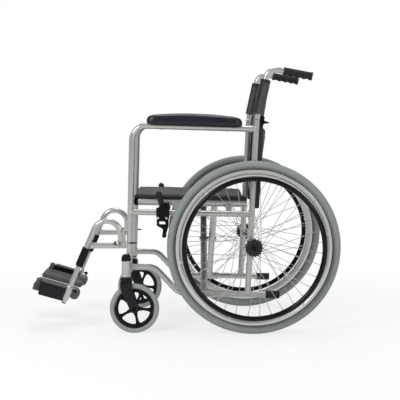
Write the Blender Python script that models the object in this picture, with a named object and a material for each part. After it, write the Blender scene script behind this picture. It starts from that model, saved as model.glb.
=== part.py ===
"""Folding wheelchair with a cross brace, swing-away footrests and a half-folding back.

Metres. +Z is up, the chair faces -X and its left side is -Y. The origin is on the floor under
the middle of the chair. Lengths called "ahead" are measured forwards from the rear axle.
"""

import math

import bmesh
import bpy
from mathutils import Matrix, Vector

# Overall layout
AXLE_X = 0.2407            # rear axle from the middle of the chair
FRAME_HALF = 0.222         # middle plane of the chair to a side frame's tubes
RAIL_INSET = 0.030         # side frame plane to the seat rail, inwards
FRAME_TILT = math.radians(1.2)   # seat, side and lower rails slope down to the rear
ARM_TILT = math.radians(1.7)
FIT = 0.0003               # gap between pieces that touch

# Rear wheels
WHEEL_R = 0.305
WHEEL_OUT = 0.058          # side frame plane to a rear wheel's middle, outwards
WHEEL_PLANE = FRAME_HALF + WHEEL_OUT
TYRE_WIDTH = 0.034
TYRE_DEPTH = 0.030
RIM_DEPTH = 0.026
RIM_WIDTH = 0.024
SPOKES = 36
SPOKE_R = 0.0012
SPOKE_GAP = 0.0012         # a spoke's end to the rim
HUB_R = 0.017
HUB_FLANGE_R = 0.030
HUB_HALF = 0.031
HUB_FLANGE_OUT = 0.014     # wheel plane to each flange
HANDRIM_INSIDE = 0.0605    # tread to the hand rim's middle line, inwards
HANDRIM_R = WHEEL_R - HANDRIM_INSIDE
HANDRIM_TUBE_R = 0.009
HANDRIM_OUT = 0.040        # wheel plane to the hand rim
HANDRIM_TABS = 6
AXLE_R = 0.006
BORE_PLAY = 0.0004         # a bore over the bolt or pin in it
AXLE_BORE_R = AXLE_R + BORE_PLAY
AXLE_HEAD_R = 0.011

# Side frame
TUBE_R = 0.011
POST_R = TUBE_R - 0.00015  # welded tubes differ a little, so that no two faces lie in one plane
SIDE_RAIL_R = TUBE_R - 0.0002
LOWER_RAIL_R = TUBE_R - 0.0001
SLEEVE_GAP = 0.0006        # play of a tube that turns or lies in another piece
UPRIGHT_AHEAD = 0.4375     # at the height of the hanger lugs
UPRIGHT_LEAN = math.radians(1.63)
ARM_Z = 0.7205             # arm rail over the rear axle
ARM_BEND_R = 0.052
SIDE_RAIL_Z = 0.4177       # over the rear axle
SADDLE_RISE = 0.0333       # side rail up to the seat rail that its saddles hold
SEAT_RAIL_Z = SIDE_RAIL_Z + SADDLE_RISE
LOW_RAIL_Z = 0.1310
LOW_FRONT_RUN = 0.0875     # upright back to the lower rail's first bend
S_BEND_RUN = 0.088         # first bend back to the second
S_BEND_FRONT_AHEAD = UPRIGHT_AHEAD - LOW_FRONT_RUN
S_BEND_REAR_AHEAD = S_BEND_FRONT_AHEAD - S_BEND_RUN
S_BEND_R = 0.050
LOW_RAIL_END = 0.062       # behind the axle
POST_AHEAD = 0.009         # rear post ahead of the axle, at axle height
POST_LEAN = math.radians(2.85)
BOSS_WALL = 0.003          # axle boss over the tube's wall
BOSS_R = TUBE_R + BOSS_WALL
BOSS_HALF = 0.020
SADDLE_HALF = 0.010

# Casters
CASTER_R = 0.0875
CASTER_TYRE_DEPTH = 0.018
CASTER_WIDTH = 0.027
CASTER_OUT = 0.030         # side frame plane to the caster, outwards
STEM_STEP = 0.0115         # upright to the caster's stem, forwards
STEM_AHEAD = UPRIGHT_AHEAD + STEM_STEP
CASTER_TRAIL = 0.0286
HOUSING_R = 0.0163
FORK_HEADROOM = 0.025      # caster's top to the housing's foot
HOUSING_LENGTH = 0.0566
HOUSING_LOW = 2 * CASTER_R + FORK_HEADROOM
HOUSING_HIGH = HOUSING_LOW + HOUSING_LENGTH
RAIL_OVER_HOUSING = 0.0221 # housing's foot to the front stretch of the lower rail
FOOT_UNDER_RAIL = 0.0081   # that stretch down to the upright's foot
LOW_FRONT_Z = HOUSING_LOW + RAIL_OVER_HOUSING
UPRIGHT_FOOT_Z = LOW_FRONT_Z - FOOT_UNDER_RAIL
CAP_HEIGHT = 0.0245
STEM_R = 0.006
STEM_BORE_R = STEM_R + 0.0005
FORK_CROWN_HALF = 0.0212
FORK_LEG_INSET = 0.0010    # crown's side to the edges of a leg
FORK_SIDE_GAP = 0.003      # caster's side to the fork's leg
FORK_GAP_HALF = CASTER_WIDTH / 2 + FORK_SIDE_GAP
FORK_LEG_THICK = 0.0055
CASTER_AXLE_R = 0.004
CASTER_SPOKES = 5
CASTER_TURN = 66           # degrees from the level to the first spoke

# Cross brace and seat
BRACE_FRONT_AHEAD = 0.170  # arm that starts on the left lower rail
BRACE_REAR_AHEAD = 0.139   # arm that starts on the right lower rail
BRACE_R = 0.010
BRACE_SLEEVE_WALL = 0.0032
BRACE_SLEEVE_R = TUBE_R + BRACE_SLEEVE_WALL
BRACE_SLEEVE_HALF = 0.036
SEAT_SET_BACK = 0.018      # upright's middle line back to the seat rail's front end
SEAT_FRONT_AHEAD = UPRIGHT_AHEAD - SEAT_SET_BACK
SEAT_REAR_AHEAD = 0.022
RAIL_CAP_LENGTH = 0.009
SLING_THICK = 0.014
SLING_SAG = 0.022
SLING_WRAP = 0.0135        # seat rail middle to the sling's edge

# Arm pad
PAD_START = 0.009          # arm bend's end to the pad's front
PAD_STOP = 0.0295          # rear post to the pad's rear end
PAD_FRONT_AHEAD = UPRIGHT_AHEAD - ARM_BEND_R - PAD_START
PAD_REAR_AHEAD = POST_AHEAD + PAD_STOP
PAD_HALF = 0.0255
PAD_RISE = 0.048           # top of the pad over the arm rail's middle line
PAD_CROWN = 0.0095         # fall of that top towards the pad's ends
PAD_SKIRT = 0.002          # pad's lower edge over the arm rail's middle line

# Back
HINGE_OVER_ARM = 0.0337
BACK_HINGE_Z = ARM_Z + HINGE_OVER_ARM   # where the back post is split
BACK_LEAN = math.radians(12.0)
BACK_SPLIT = 0.0009        # gap that the leaning tube ends need at the split
HINGE_BEHIND = 0.0175      # back hinge pin behind the post's middle line
KNUCKLE_R = 0.0072
CANE_RISE = 0.1755         # split to the handle's highest line
HANDLE_Z = BACK_HINGE_Z + CANE_RISE
CORNER_RISE = 0.004        # that line to the corner of the bend
HANDLE_BEND_R = 0.037
HANDLE_DROP = math.radians(10.6)
GRIP_LENGTH = 0.098
GRIP_END = 0.0035          # tube's end to the grip's end
GRIP_START = 0.0605        # corner of the bend to the grip
GRIP_WALL = 0.0038
GRIP_R = TUBE_R + GRIP_WALL
HANDLE_LENGTH = GRIP_START + GRIP_LENGTH - GRIP_END
GRIP_RIBS = 5
BACK_UNDER_HANDLE = 0.0365
BACK_OVER_HINGE = 0.0178
BACK_TOP_Z = HANDLE_Z - BACK_UNDER_HANDLE
BACK_SLING_Z = BACK_HINGE_Z + BACK_OVER_HINGE   # lower edge of the upper panel
BACK_LOWER_GAP = 0.030     # hinge down to the lower panel's upper edge
BACK_LOW_Z = 0.440
BACK_SAG = 0.026
BACK_THICK = 0.006
SLEEVE_WALL = 0.004
SLEEVE_R = TUBE_R + SLEEVE_WALL

# Front hangers
HANGER_TUBE_R = 0.0102
HINGE_REACH = 0.022        # upright to the hanger's hinge pin, forwards
LEG_REACH = 0.0105         # hinge pin to the hanger's rear leg
HANGER_SPAN = 0.1209       # rear leg to the foot of the slanted tube
HANGER_AXIS_AHEAD = UPRIGHT_AHEAD + HINGE_REACH
HANGER_LEG_AHEAD = HANGER_AXIS_AHEAD + LEG_REACH
HANGER_SLOPE = math.radians(23.1)
HANGER_FOOT_AHEAD = HANGER_LEG_AHEAD + HANGER_SPAN  # on the slanted tube's middle line
STRUT_Z = 0.307
FOOT_UNDER_STRUT = 0.008
HOOP_RISE = 0.088          # strut to the top of the hoop
LUG_OVER_STRUT = 0.0125
LUG_SPACING = 0.044
HANGER_FOOT_Z = STRUT_Z - FOOT_UNDER_STRUT
HANGER_TOP_Z = STRUT_Z + HOOP_RISE
LUG_LOW_Z = STRUT_Z + LUG_OVER_STRUT
LUG_HIGH_Z = LUG_LOW_Z + LUG_SPACING
STRUT_R = HANGER_TUBE_R + FIT
LUG_THICK = 0.006
HINGE_BARREL_R = 0.0072
HINGE_PIN_R = 0.0036
LEG_SLEEVE_WALL = 0.0023
LEG_SLEEVE_R = HANGER_TUBE_R + LEG_SLEEVE_WALL
LEG_SLEEVE_START = 0.000
LEG_SLEEVE_LENGTH = 0.071
FOOT_TUBE_LESS = 0.0014    # foot tube thinner than the hanger's tube
FOOT_TUBE_PLAY = 0.0005
FOOT_TUBE_R = HANGER_TUBE_R - FOOT_TUBE_LESS
FOOT_TUBE_BORE_R = FOOT_TUBE_R + FOOT_TUBE_PLAY
FOOT_TUBE_END = 0.211
FOOT_OVERLAP = 0.060
LATCH_Z = STRUT_Z + STRUT_R
LATCH_BEHIND = -0.0125     # latch pivot to the hanger's axis
LATCH_OUT = 0.0030         # strut's outside to the middle of the latch bar
LATCH_PIN_R = 0.0012

# Footplates
PLATE_TILT = math.radians(16.0)
PIN_REACH = 0.1259         # foot of the slanted tube to a point on the flip pin's line
PIN_BELOW = 0.1286
PIN_AHEAD = HANGER_FOOT_AHEAD + PIN_REACH
PIN_Z = HANGER_FOOT_Z - PIN_BELOW
PIN_INSET = 0.022          # side frame plane to the flip pin, inwards
PLATE_REACH = 0.150        # flip pin to the plate's inner edge
PLATE_DROP = 0.014         # flip pin to the plate's top face
PLATE_THICK = 0.013
PLATE_LENGTH = 0.160
PLATE_MIDDLE = -0.0154     # along the pin, forwards
PLATE_CORNER_R = 0.022
BLOCK_FRONT = 0.0365
BLOCK_REAR = -0.0383
SHOULDER_REAR = -0.0585    # rear end of the block's outer half, at the foot tube
SHOULDER_INNER = FRAME_HALF - 0.0095
CLAMP_WALL = 0.0045
CLAMP_CUT = 0.0015         # foot tube's middle to the clamp's open side, outwards
BLOCK_OVER = 0.010         # block's top over the pin
BLOCK_UNDER = 0.045
BLOCK_INWARD = 0.033       # side frame plane to the block's inner face
BLOCK_OUTWARD = 0.011
BLOCK_INNER = FRAME_HALF - BLOCK_INWARD
BLOCK_OUTER = FRAME_HALF + BLOCK_OUTWARD
FLIP_PIN_R = 0.004
BARREL_WALL = 0.0065
BARREL_R = FLIP_PIN_R + BARREL_WALL
BARREL_LENGTH = 0.028
PIN_TAIL = 0.0099          # block's rear face to the pin's rear end

# Brakes
SHOE_R = 0.008
SHOE_GAP = 0.00420813      # tyre to the shoe with the brake off
SHOE_UNDER_RAIL = 0.0677
SHOE_Z = SIDE_RAIL_Z - SHOE_UNDER_RAIL
SHOE_AHEAD = math.sqrt((WHEEL_R + SHOE_GAP + SHOE_R) ** 2 - (SHOE_Z - WHEEL_R) ** 2)
BRAKE_PLATE_AHEAD = (SHOE_AHEAD + 0.0288, SHOE_AHEAD - 0.0177)
SADDLE_GAP = 0.0153        # brake plate to the front saddle behind it
SADDLE_REAR_AHEAD = 0.085
SADDLE_AHEAD = (BRAKE_PLATE_AHEAD[1] - SADDLE_GAP - SADDLE_HALF, SADDLE_REAR_AHEAD)
BRAKE_PLATE_Z = (SIDE_RAIL_Z - 0.0157, SIDE_RAIL_Z + 0.0408)
BRAKE_PLATE_THICK = 0.005
BRAKE_BOLTS_AHEAD = (SHOE_AHEAD + 0.0228, SHOE_AHEAD - 0.0080)
BRAKE_BOLT_Z = SIDE_RAIL_Z - 0.0112
LEVER_PIVOT_AHEAD = SHOE_AHEAD + 0.006
LEVER_PIVOT_Z = SIDE_RAIL_Z + 0.0258
LEVER_LEAN = math.radians(16.0)
LEVER_LENGTH = 0.060
LEVER_GRIP_R = 0.0098

TIP_WALL = 0.003
TIP_R = TUBE_R + TIP_WALL
TIP_LENGTH = 0.050
TIP_OVERLAP = 0.016        # ferrule over the rail's end

ROUND = 10                 # sides of a plain tube
SMALL_ROUND = 8            # sides of a bolt or a pin
WHEEL_SIDES = 36           # sides of the rear wheel's rings
CASTER_SIDES = 24


def clear_scene():
    """Removes every object, so that the script can run again in an open file."""
    for item in list(bpy.data.objects):
        bpy.data.objects.remove(item, do_unlink=True)


def make_material(name, colour, roughness, metallic=0.0):
    """A Principled material with one colour."""
    material = bpy.data.materials.new(name)
    material.use_nodes = True
    shader = material.node_tree.nodes["Principled BSDF"]
    shader.inputs["Base Color"].default_value = (*colour, 1.0)
    shader.inputs["Roughness"].default_value = roughness
    shader.inputs["Metallic"].default_value = metallic
    return material


def ahead(distance):
    """World X of a point that lies this far ahead of the rear axle."""
    return AXLE_X - distance


def rail_height(height_at_axle, x, tilt=FRAME_TILT):
    """Height of a rail that slopes down to the rear, at world X."""
    return height_at_axle + (AXLE_X - x) * math.tan(tilt)


# Mesh helpers. Each returns an object whose mesh is in world coordinates.

def new_object(mesh, name="piece"):
    item = bpy.data.objects.new(name, mesh)
    bpy.context.scene.collection.objects.link(item)
    return item


def from_bmesh(bm):
    bmesh.ops.recalc_face_normals(bm, faces=bm.faces)
    mesh = bpy.data.meshes.new("piece")
    bm.to_mesh(mesh)
    bm.free()
    return new_object(mesh)


def evaluated_mesh(item):
    bpy.context.view_layer.update()
    graph = bpy.context.evaluated_depsgraph_get()
    return bpy.data.meshes.new_from_object(item.evaluated_get(graph))


def rounded_path(corners, radius, steps=6):
    """Points through the corners, each inner corner replaced by an arc of this radius."""
    corners = [Vector(corner) for corner in corners]
    radii = radius if isinstance(radius, (list, tuple)) else [radius] * (len(corners) - 2)
    points = [corners[0]]
    for before, corner, after, bend in zip(corners, corners[1:], corners[2:], radii):
        towards = (before - corner).normalized()
        away = (after - corner).normalized()
        half = towards.angle(away) / 2
        middle = corner + (towards + away).normalized() * (bend / math.sin(half))
        start = corner + towards * (bend / math.tan(half)) - middle
        end = corner + away * (bend / math.tan(half)) - middle
        turn = start.angle(end)
        for step in range(steps + 1):
            share = step / steps
            weight = math.sin((1 - share) * turn), math.sin(share * turn)
            points.append(middle + (start * weight[0] + end * weight[1]) / math.sin(turn))
    points.append(corners[-1])
    return points


def tube(points, radius, sides=ROUND):
    """A round bar with filled ends along the points."""
    curve = bpy.data.curves.new("path", 'CURVE')
    curve.dimensions = '3D'
    curve.bevel_depth = radius
    curve.bevel_resolution = sides // 2 - 2
    curve.use_fill_caps = True
    spline = curve.splines.new('POLY')
    spline.points.add(len(points) - 1)
    for place, point in zip(spline.points, points):
        place.co = (*point, 1.0)
    guide = new_object(curve)
    item = new_object(evaluated_mesh(guide))
    bpy.data.objects.remove(guide)
    return item


def cylinder(start, end, radius, sides=ROUND, end_radius=None):
    """A round bar, or a cone where an end radius is given."""
    start, end = Vector(start), Vector(end)
    axis = end - start
    turn = axis.to_track_quat('Z', 'X').to_matrix().to_4x4()
    bm = bmesh.new()
    bmesh.ops.create_cone(
        bm, cap_ends=True, segments=sides, radius1=radius,
        radius2=radius if end_radius is None else end_radius, depth=axis.length,
        matrix=Matrix.Translation((start + end) / 2) @ turn)
    return from_bmesh(bm)


def turned(profile, centre, axis, steps, closed=False, rolls=False):
    """Turns a profile of (radius, distance along the axis) points round the axis.

    A piece that rolls gets its radii to the middles of its flats, one of which is lowest.
    """
    axis = Vector(axis).normalized()
    side = axis.orthogonal().normalized()
    stretch = 1.0
    if rolls:
        side = Matrix.Rotation(math.pi / steps, 3, axis) @ Vector((0.0, 0.0, -1.0))
        stretch = 1.0 / math.cos(math.pi / steps)
    bm = bmesh.new()
    verts = [bm.verts.new(Vector(centre) + side * r * stretch + axis * along) for r, along in profile]
    count = len(profile)
    edges = []
    for index in range(count if closed else count - 1):
        following = (index + 1) % count
        # Two points on the axis need no edge between them, because they sweep no surface.
        if profile[index][0] > 0 or profile[following][0] > 0:
            edges.append(bm.edges.new((verts[index], verts[following])))
    bmesh.ops.spin(bm, geom=verts + edges, cent=centre, axis=axis, angle=2 * math.pi,
                   steps=steps, use_merge=True)
    bmesh.ops.remove_doubles(bm, verts=bm.verts, dist=0.000002)
    return from_bmesh(bm)


def slab(outline, depth):
    """Extrudes a flat outline of 3-D points by the depth vector."""
    bm = bmesh.new()
    face = bm.faces.new([bm.verts.new(point) for point in outline])
    grown = bmesh.ops.extrude_face_region(bm, geom=[face])
    moved = [part for part in grown["geom"] if isinstance(part, bmesh.types.BMVert)]
    bmesh.ops.translate(bm, verts=moved, vec=depth)
    return from_bmesh(bm)


def rounded_outline(corners, radius, steps=4):
    """A closed outline with its corners rounded."""
    corners = [Vector(corner) for corner in corners]
    count = len(corners)
    radii = radius if isinstance(radius, (list, tuple)) else [radius] * count
    points = []
    for index, corner in enumerate(corners):
        if radii[index] <= 0:
            points.append(corner)
            continue
        trio = [corners[index - 1], corner, corners[(index + 1) % count]]
        points += rounded_path(trio, radii[index], steps)[1:-1]
    return points


def box(low, high, bevel=0.0):
    """A block between two corners, with its edges cut at 45 degrees where asked."""
    low, high = Vector(low), Vector(high)
    bm = bmesh.new()
    size = Matrix.Diagonal((*(high - low), 1.0))
    bmesh.ops.create_cube(bm, size=1.0, matrix=Matrix.Translation((low + high) / 2) @ size)
    if bevel:
        bmesh.ops.bevel(bm, geom=bm.edges, offset=bevel, segments=1, affect='EDGES')
    return from_bmesh(bm)


def loft(sections):
    """A closed skin over rings of equal length, with a face at each end."""
    bm = bmesh.new()
    rings = [[bm.verts.new(point) for point in section] for section in sections]
    for ring, after in zip(rings, rings[1:]):
        count = len(ring)
        for index in range(count):
            following = (index + 1) % count
            bm.faces.new((ring[index], ring[following], after[following], after[index]))
    bm.faces.new(rings[0])
    bm.faces.new(rings[-1])
    return from_bmesh(bm)


def combine(target, tools, operation):
    """Joins the tools to the target, or cuts them from it, and removes them."""
    for tool in tools:
        boolean = target.modifiers.new("shape", 'BOOLEAN')
        boolean.operation = operation
        boolean.solver = 'EXACT'
        boolean.object = tool
    mesh = evaluated_mesh(target)
    target.modifiers.clear()
    target.data = mesh
    for tool in tools:
        bpy.data.objects.remove(tool)
    return target


def join(target, *tools):
    return combine(target, tools, 'UNION')


def cut(target, *tools):
    return combine(target, tools, 'DIFFERENCE')


# Assembly helpers

def joint_empty(name, place, parent=None):
    """An empty on a joint's axis, which carries the pieces that move there."""
    empty = bpy.data.objects.new(name, None)
    empty.empty_display_size = 0.03
    bpy.context.scene.collection.objects.link(empty)
    empty.parent = parent
    empty["place"] = list(place)
    base = Vector(parent["place"]) if parent else Vector()
    empty.location = Vector(place) - base
    return empty


def finish_piece(item, name, material, carrier, smooth=35.0):
    """Names the piece, puts its origin on its carrier and hangs it there."""
    place = Vector(carrier["place"])
    item.name = name
    item.data.name = name
    item.data.transform(Matrix.Translation(-place))
    item.data.materials.clear()
    item.data.materials.append(material)
    item.data.shade_smooth()
    item.data.set_sharp_from_angle(angle=math.radians(smooth))
    item.parent = carrier
    return item


def mirrored(item, name, carrier):
    """The same piece for the right side, mirrored in the middle plane of the chair."""
    mesh = item.data.copy()
    mesh.name = name
    mesh.transform(Matrix.Scale(-1.0, 4, (0.0, 1.0, 0.0)))
    mesh.flip_normals()
    copy = new_object(mesh, name)
    copy.parent = carrier
    return copy


# Geometry that several pieces share. Pieces are drawn on the left side, where Y is negative.

def upright_x(z):
    """X of the front upright's middle line at a height."""
    return ahead(UPRIGHT_AHEAD) + (z - LUG_LOW_Z) * math.tan(UPRIGHT_LEAN)


def post_x(z):
    """X of the rear post's middle line at a height."""
    return ahead(POST_AHEAD) + (z - WHEEL_R) * math.tan(POST_LEAN)


def arm_z(x):
    return rail_height(ARM_Z, x, ARM_TILT)


def on_hanger(distance, y=-FRAME_HALF):
    """A point on the slanted tube's middle line, this far down from its reference point."""
    return Vector((ahead(HANGER_FOOT_AHEAD) - distance * math.sin(HANGER_SLOPE), y,
                   HANGER_FOOT_Z - distance * math.cos(HANGER_SLOPE)))


def on_plate(forward, y, up):
    """A point from the flip pin's line: forwards along it, at world Y, and square up from it."""
    along = Vector((-math.cos(PLATE_TILT), 0.0, math.sin(PLATE_TILT)))
    square = Vector((math.sin(PLATE_TILT), 0.0, math.cos(PLATE_TILT)))
    start = Vector((ahead(PIN_AHEAD), 0.0, PIN_Z))
    return start + along * forward + square * up + Vector((0.0, y, 0.0))


def back_place(height, behind=0.0, y=-FRAME_HALF):
    """A point beside the upper back cane: up along it from the hinge split, and square behind it."""
    start = Vector((post_x(BACK_HINGE_Z), y, BACK_HINGE_Z))
    along = Vector((math.sin(BACK_LEAN), 0.0, math.cos(BACK_LEAN)))
    square = Vector((math.cos(BACK_LEAN), 0.0, -math.sin(BACK_LEAN)))
    return start + along * height + square * behind


BACK_HINGE = (post_x(BACK_HINGE_Z) + HINGE_BEHIND, -FRAME_HALF, BACK_HINGE_Z + 0.003)
LEVER_PIN = (BACK_HINGE[0] + 0.0075, -FRAME_HALF, BACK_HINGE[2] - 0.0135)
LATCH_PIVOT = (ahead(HANGER_AXIS_AHEAD) + LATCH_BEHIND, -FRAME_HALF - STRUT_R - LATCH_OUT, LATCH_Z)
WHEEL_CENTRE = (AXLE_X, -WHEEL_PLANE, WHEEL_R)
STEM = (ahead(STEM_AHEAD), -FRAME_HALF - CASTER_OUT, HOUSING_LOW)
CASTER_CENTRE = (STEM[0] + CASTER_TRAIL, STEM[1], CASTER_R)
HANGER_AXIS = (ahead(HANGER_AXIS_AHEAD), -FRAME_HALF, (LUG_HIGH_Z + LUG_LOW_Z) / 2)
BRAKE_OUT = -FRAME_HALF - TUBE_R - 0.0005
LEVER_PIVOT = (ahead(LEVER_PIVOT_AHEAD), BRAKE_OUT - BRAKE_PLATE_THICK, LEVER_PIVOT_Z)
SHOE_PIVOT = (ahead(BRAKE_BOLTS_AHEAD[1]), BRAKE_OUT - BRAKE_PLATE_THICK, BRAKE_BOLT_Z)


def brace_geometry():
    """Where the two arms of the cross brace cross, midway between them along the chair."""
    x = ahead((BRACE_FRONT_AHEAD + BRACE_REAR_AHEAD) / 2)
    low = rail_height(LOW_RAIL_Z, x)
    high = rail_height(SEAT_RAIL_Z, x)
    share = FRAME_HALF / (2 * FRAME_HALF - RAIL_INSET)
    return Vector((x, 0.0, low + (high - low) * share))


# Side frame

def axle_bore():
    return cylinder((AXLE_X, -FRAME_HALF - 0.1, WHEEL_R), (AXLE_X, -FRAME_HALF + 0.1, WHEEL_R),
                    AXLE_BORE_R)


def saddle(distance):
    """Bracket on the side rail with a cradle, open at the top, under the seat rail."""
    x = ahead(distance)
    z = rail_height(SIDE_RAIL_Z, x)
    rise = SEAT_RAIL_Z - SIDE_RAIL_Z
    lip = RAIL_INSET + TUBE_R + 0.0045
    outline = [(-0.004, -0.002), (-0.002, 0.006), (RAIL_INSET - 0.0155, rise + 0.001),
               (lip, rise + 0.001), (lip, rise - 0.013), (RAIL_INSET + 0.004, rise - 0.017),
               (0.010, -0.006)]
    points = [(x - SADDLE_HALF, -FRAME_HALF + inward, z + up) for inward, up in outline]
    bracket = slab(points, (2 * SADDLE_HALF, 0.0, 0.0))
    return cut(bracket, seat_rail_bar(TUBE_R + SLEEVE_GAP, 0.05))


def seat_rail_bar(radius, extra=0.0):
    """The seat rail's straight line on the left, at this radius."""
    front = ahead(SEAT_FRONT_AHEAD) + RAIL_CAP_LENGTH - extra
    rear = ahead(SEAT_REAR_AHEAD) + extra
    y = -FRAME_HALF + RAIL_INSET
    return tube([(front, y, rail_height(SEAT_RAIL_Z, front)),
                 (rear, y, rail_height(SEAT_RAIL_Z, rear))], radius)


def lower_rail_points():
    """Front stretch, S bend down and rear stretch of the lower rail."""
    front = upright_x(LOW_FRONT_Z)
    bend_front = ahead(S_BEND_FRONT_AHEAD)
    bend_rear = ahead(S_BEND_REAR_AHEAD)
    rear = AXLE_X + LOW_RAIL_END
    corners = [(front, -FRAME_HALF, rail_height(LOW_FRONT_Z, front)),
               (bend_front, -FRAME_HALF, rail_height(LOW_FRONT_Z, bend_front)),
               (bend_rear, -FRAME_HALF, rail_height(LOW_RAIL_Z, bend_rear)),
               (rear, -FRAME_HALF, rail_height(LOW_RAIL_Z, rear))]
    return rounded_path(corners, S_BEND_R, 4)


def make_side_frame():
    """One welded frame: front loop, rear post, rails, caster housing, boss, lugs and saddles."""
    y = -FRAME_HALF
    bend_x = upright_x(ARM_Z)
    corner_z = arm_z(bend_x)
    post_join = post_x(ARM_Z) + 0.002
    loop = rounded_path([(upright_x(UPRIGHT_FOOT_Z), y, UPRIGHT_FOOT_Z),
                         (upright_x(corner_z), y, corner_z),
                         (post_join, y, arm_z(post_join))], ARM_BEND_R, 6)
    frame = tube(loop, TUBE_R)
    low_z = rail_height(LOW_RAIL_Z, AXLE_X)
    post = tube([(post_x(low_z), y, low_z - 0.001),
                 (post_x(BACK_HINGE_Z), y, BACK_HINGE_Z - BACK_SPLIT)], POST_R)
    side_front = upright_x(SIDE_RAIL_Z)
    side_rear = post_x(SIDE_RAIL_Z)
    side_rail = tube([(side_front, y, rail_height(SIDE_RAIL_Z, side_front)),
                      (side_rear, y, rail_height(SIDE_RAIL_Z, side_rear))], SIDE_RAIL_R)
    lower_rail = tube(lower_rail_points(), LOWER_RAIL_R)
    housing = cylinder((STEM[0], STEM[1], HOUSING_LOW), (STEM[0], STEM[1], HOUSING_HIGH), HOUSING_R, 12)
    gusset = box((STEM[0] - 0.006, STEM[1], HOUSING_LOW + 0.012),
                 (STEM[0] + 0.014, y, HOUSING_HIGH - 0.006))
    boss = cylinder((AXLE_X, y - BOSS_HALF, WHEEL_R), (AXLE_X, y + BOSS_HALF, WHEEL_R), BOSS_R, 12)
    pieces = [post, side_rail, lower_rail, housing, gusset, boss]
    for height in (LUG_HIGH_Z, LUG_LOW_Z):
        pieces.append(hanger_lug(height))
    pieces.append(cylinder((HANGER_AXIS[0], y, LUG_LOW_Z - LUG_THICK / 2 + 0.001),
                           (HANGER_AXIS[0], y, LUG_HIGH_Z + LUG_THICK / 2 + 0.002), HINGE_PIN_R, 8))
    pieces.append(latch_catch())
    pieces.append(back_knuckle())
    pieces += [saddle(distance) for distance in SADDLE_AHEAD]
    join(frame, *pieces)
    stem_bore = cylinder((STEM[0], STEM[1], HOUSING_LOW - 0.01), (STEM[0], STEM[1], HOUSING_HIGH + 0.01),
                         STEM_BORE_R)
    return cut(frame, stem_bore, axle_bore())


def hanger_lug(height):
    """Flat ear that reaches forwards from the upright and holds the hanger's hinge pin."""
    nose = HANGER_AXIS[0]
    root = upright_x(height)
    outline = [(root, 0.0070), (root, -0.0070)]
    for step in range(7):
        angle = math.radians(-90 - 30 * step)
        outline.append((nose + 0.0066 * math.cos(angle), 0.0066 * math.sin(angle)))
    points = [(x, -FRAME_HALF + side, height - LUG_THICK / 2) for x, side in outline]
    return slab(points, (0.0, 0.0, LUG_THICK))


def latch_catch():
    """Bar welded on the outside of the upright, which the hanger's latch lines up with."""
    front = HANGER_AXIS[0] + 0.0190
    outer = -FRAME_HALF - TUBE_R - 0.003
    inner = -FRAME_HALF - TUBE_R + 0.003
    return box((front, outer, LATCH_Z - 0.003), (front + 0.028, inner, LATCH_Z + 0.003))


def back_knuckle():
    """Middle leaf of the back hinge, with its pin and the pin of the release lever."""
    y = -FRAME_HALF
    root = post_x(BACK_HINGE_Z)
    outline = [(root, BACK_HINGE[2] - 0.030), (root + 0.014, BACK_HINGE[2] - 0.029),
               (LEVER_PIN[0] + 0.003, LEVER_PIN[2] - 0.004), (LEVER_PIN[0] + 0.003, LEVER_PIN[2] + 0.004),
               (BACK_HINGE[0] + 0.0062, BACK_HINGE[2]), (BACK_HINGE[0] + 0.0044, BACK_HINGE[2] + 0.0044),
               (BACK_HINGE[0], BACK_HINGE[2] + 0.0062), (BACK_HINGE[0] - 0.0044, BACK_HINGE[2] + 0.0044),
               (BACK_HINGE[0] - 0.0062, BACK_HINGE[2] - 0.0036), (root, BACK_HINGE[2] - 0.0036)]
    leaf = slab([(x, y - 0.0024, z) for x, z in outline], (0.0, 0.0048, 0.0))
    pin = cylinder((BACK_HINGE[0], y - 0.0078, BACK_HINGE[2]), (BACK_HINGE[0], y + 0.0078, BACK_HINGE[2]),
                   0.0026, 8)
    lever_pin = cylinder((LEVER_PIN[0], y - 0.0076, LEVER_PIN[2]), (LEVER_PIN[0], y + 0.0076, LEVER_PIN[2]),
                         0.0018, 8)
    return join(leaf, pin, lever_pin)


# Rear wheel

def make_rear_tyre():
    """Tyre with an oval section, seated on the rim."""
    outer = WHEEL_R
    inner = WHEEL_R - TYRE_DEPTH
    half = TYRE_WIDTH / 2
    seat = RIM_WIDTH / 2 - 0.001
    profile = [(outer, -0.0060), (outer - 0.0045, -half * 0.76), (outer - 0.0145, -half),
               (inner + FIT, -seat), (inner + FIT, seat), (outer - 0.0145, half),
               (outer - 0.0045, half * 0.76), (outer, 0.0060)]
    return turned(profile, WHEEL_CENTRE, (0, 1, 0), WHEEL_SIDES, closed=True, rolls=True)


def make_rim():
    """Box-section rim with a shallow well under the tyre."""
    outer = WHEEL_R - TYRE_DEPTH
    inner = outer - RIM_DEPTH
    half = RIM_WIDTH / 2
    profile = [(outer, -half), (inner + 0.011, -half), (inner, 0.0), (inner + 0.011, half), (outer, half)]
    return turned(profile, WHEEL_CENTRE, (0, 1, 0), WHEEL_SIDES, closed=True, rolls=True)


def spoke_bars():
    """Crossed spokes from both flanges to the rim, as one set of thin bars."""
    inner = WHEEL_R - TYRE_DEPTH - RIM_DEPTH - SPOKE_GAP
    bars = []
    for index in range(SPOKES):
        side = 1 if index % 2 else -1
        lead = 1 if (index // 2) % 2 else -1
        at_rim = 2 * math.pi * (index + 0.5) / SPOKES
        at_hub = at_rim + lead * math.radians(62)
        flange = side * (HUB_FLANGE_OUT + lead * 0.0016)
        start = Vector((math.cos(at_hub) * (HUB_FLANGE_R - 0.004), flange,
                        math.sin(at_hub) * (HUB_FLANGE_R - 0.004)))
        end = Vector((math.cos(at_rim) * inner, side * 0.002, math.sin(at_rim) * inner))
        bars.append((start, end))
    return bars


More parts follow.
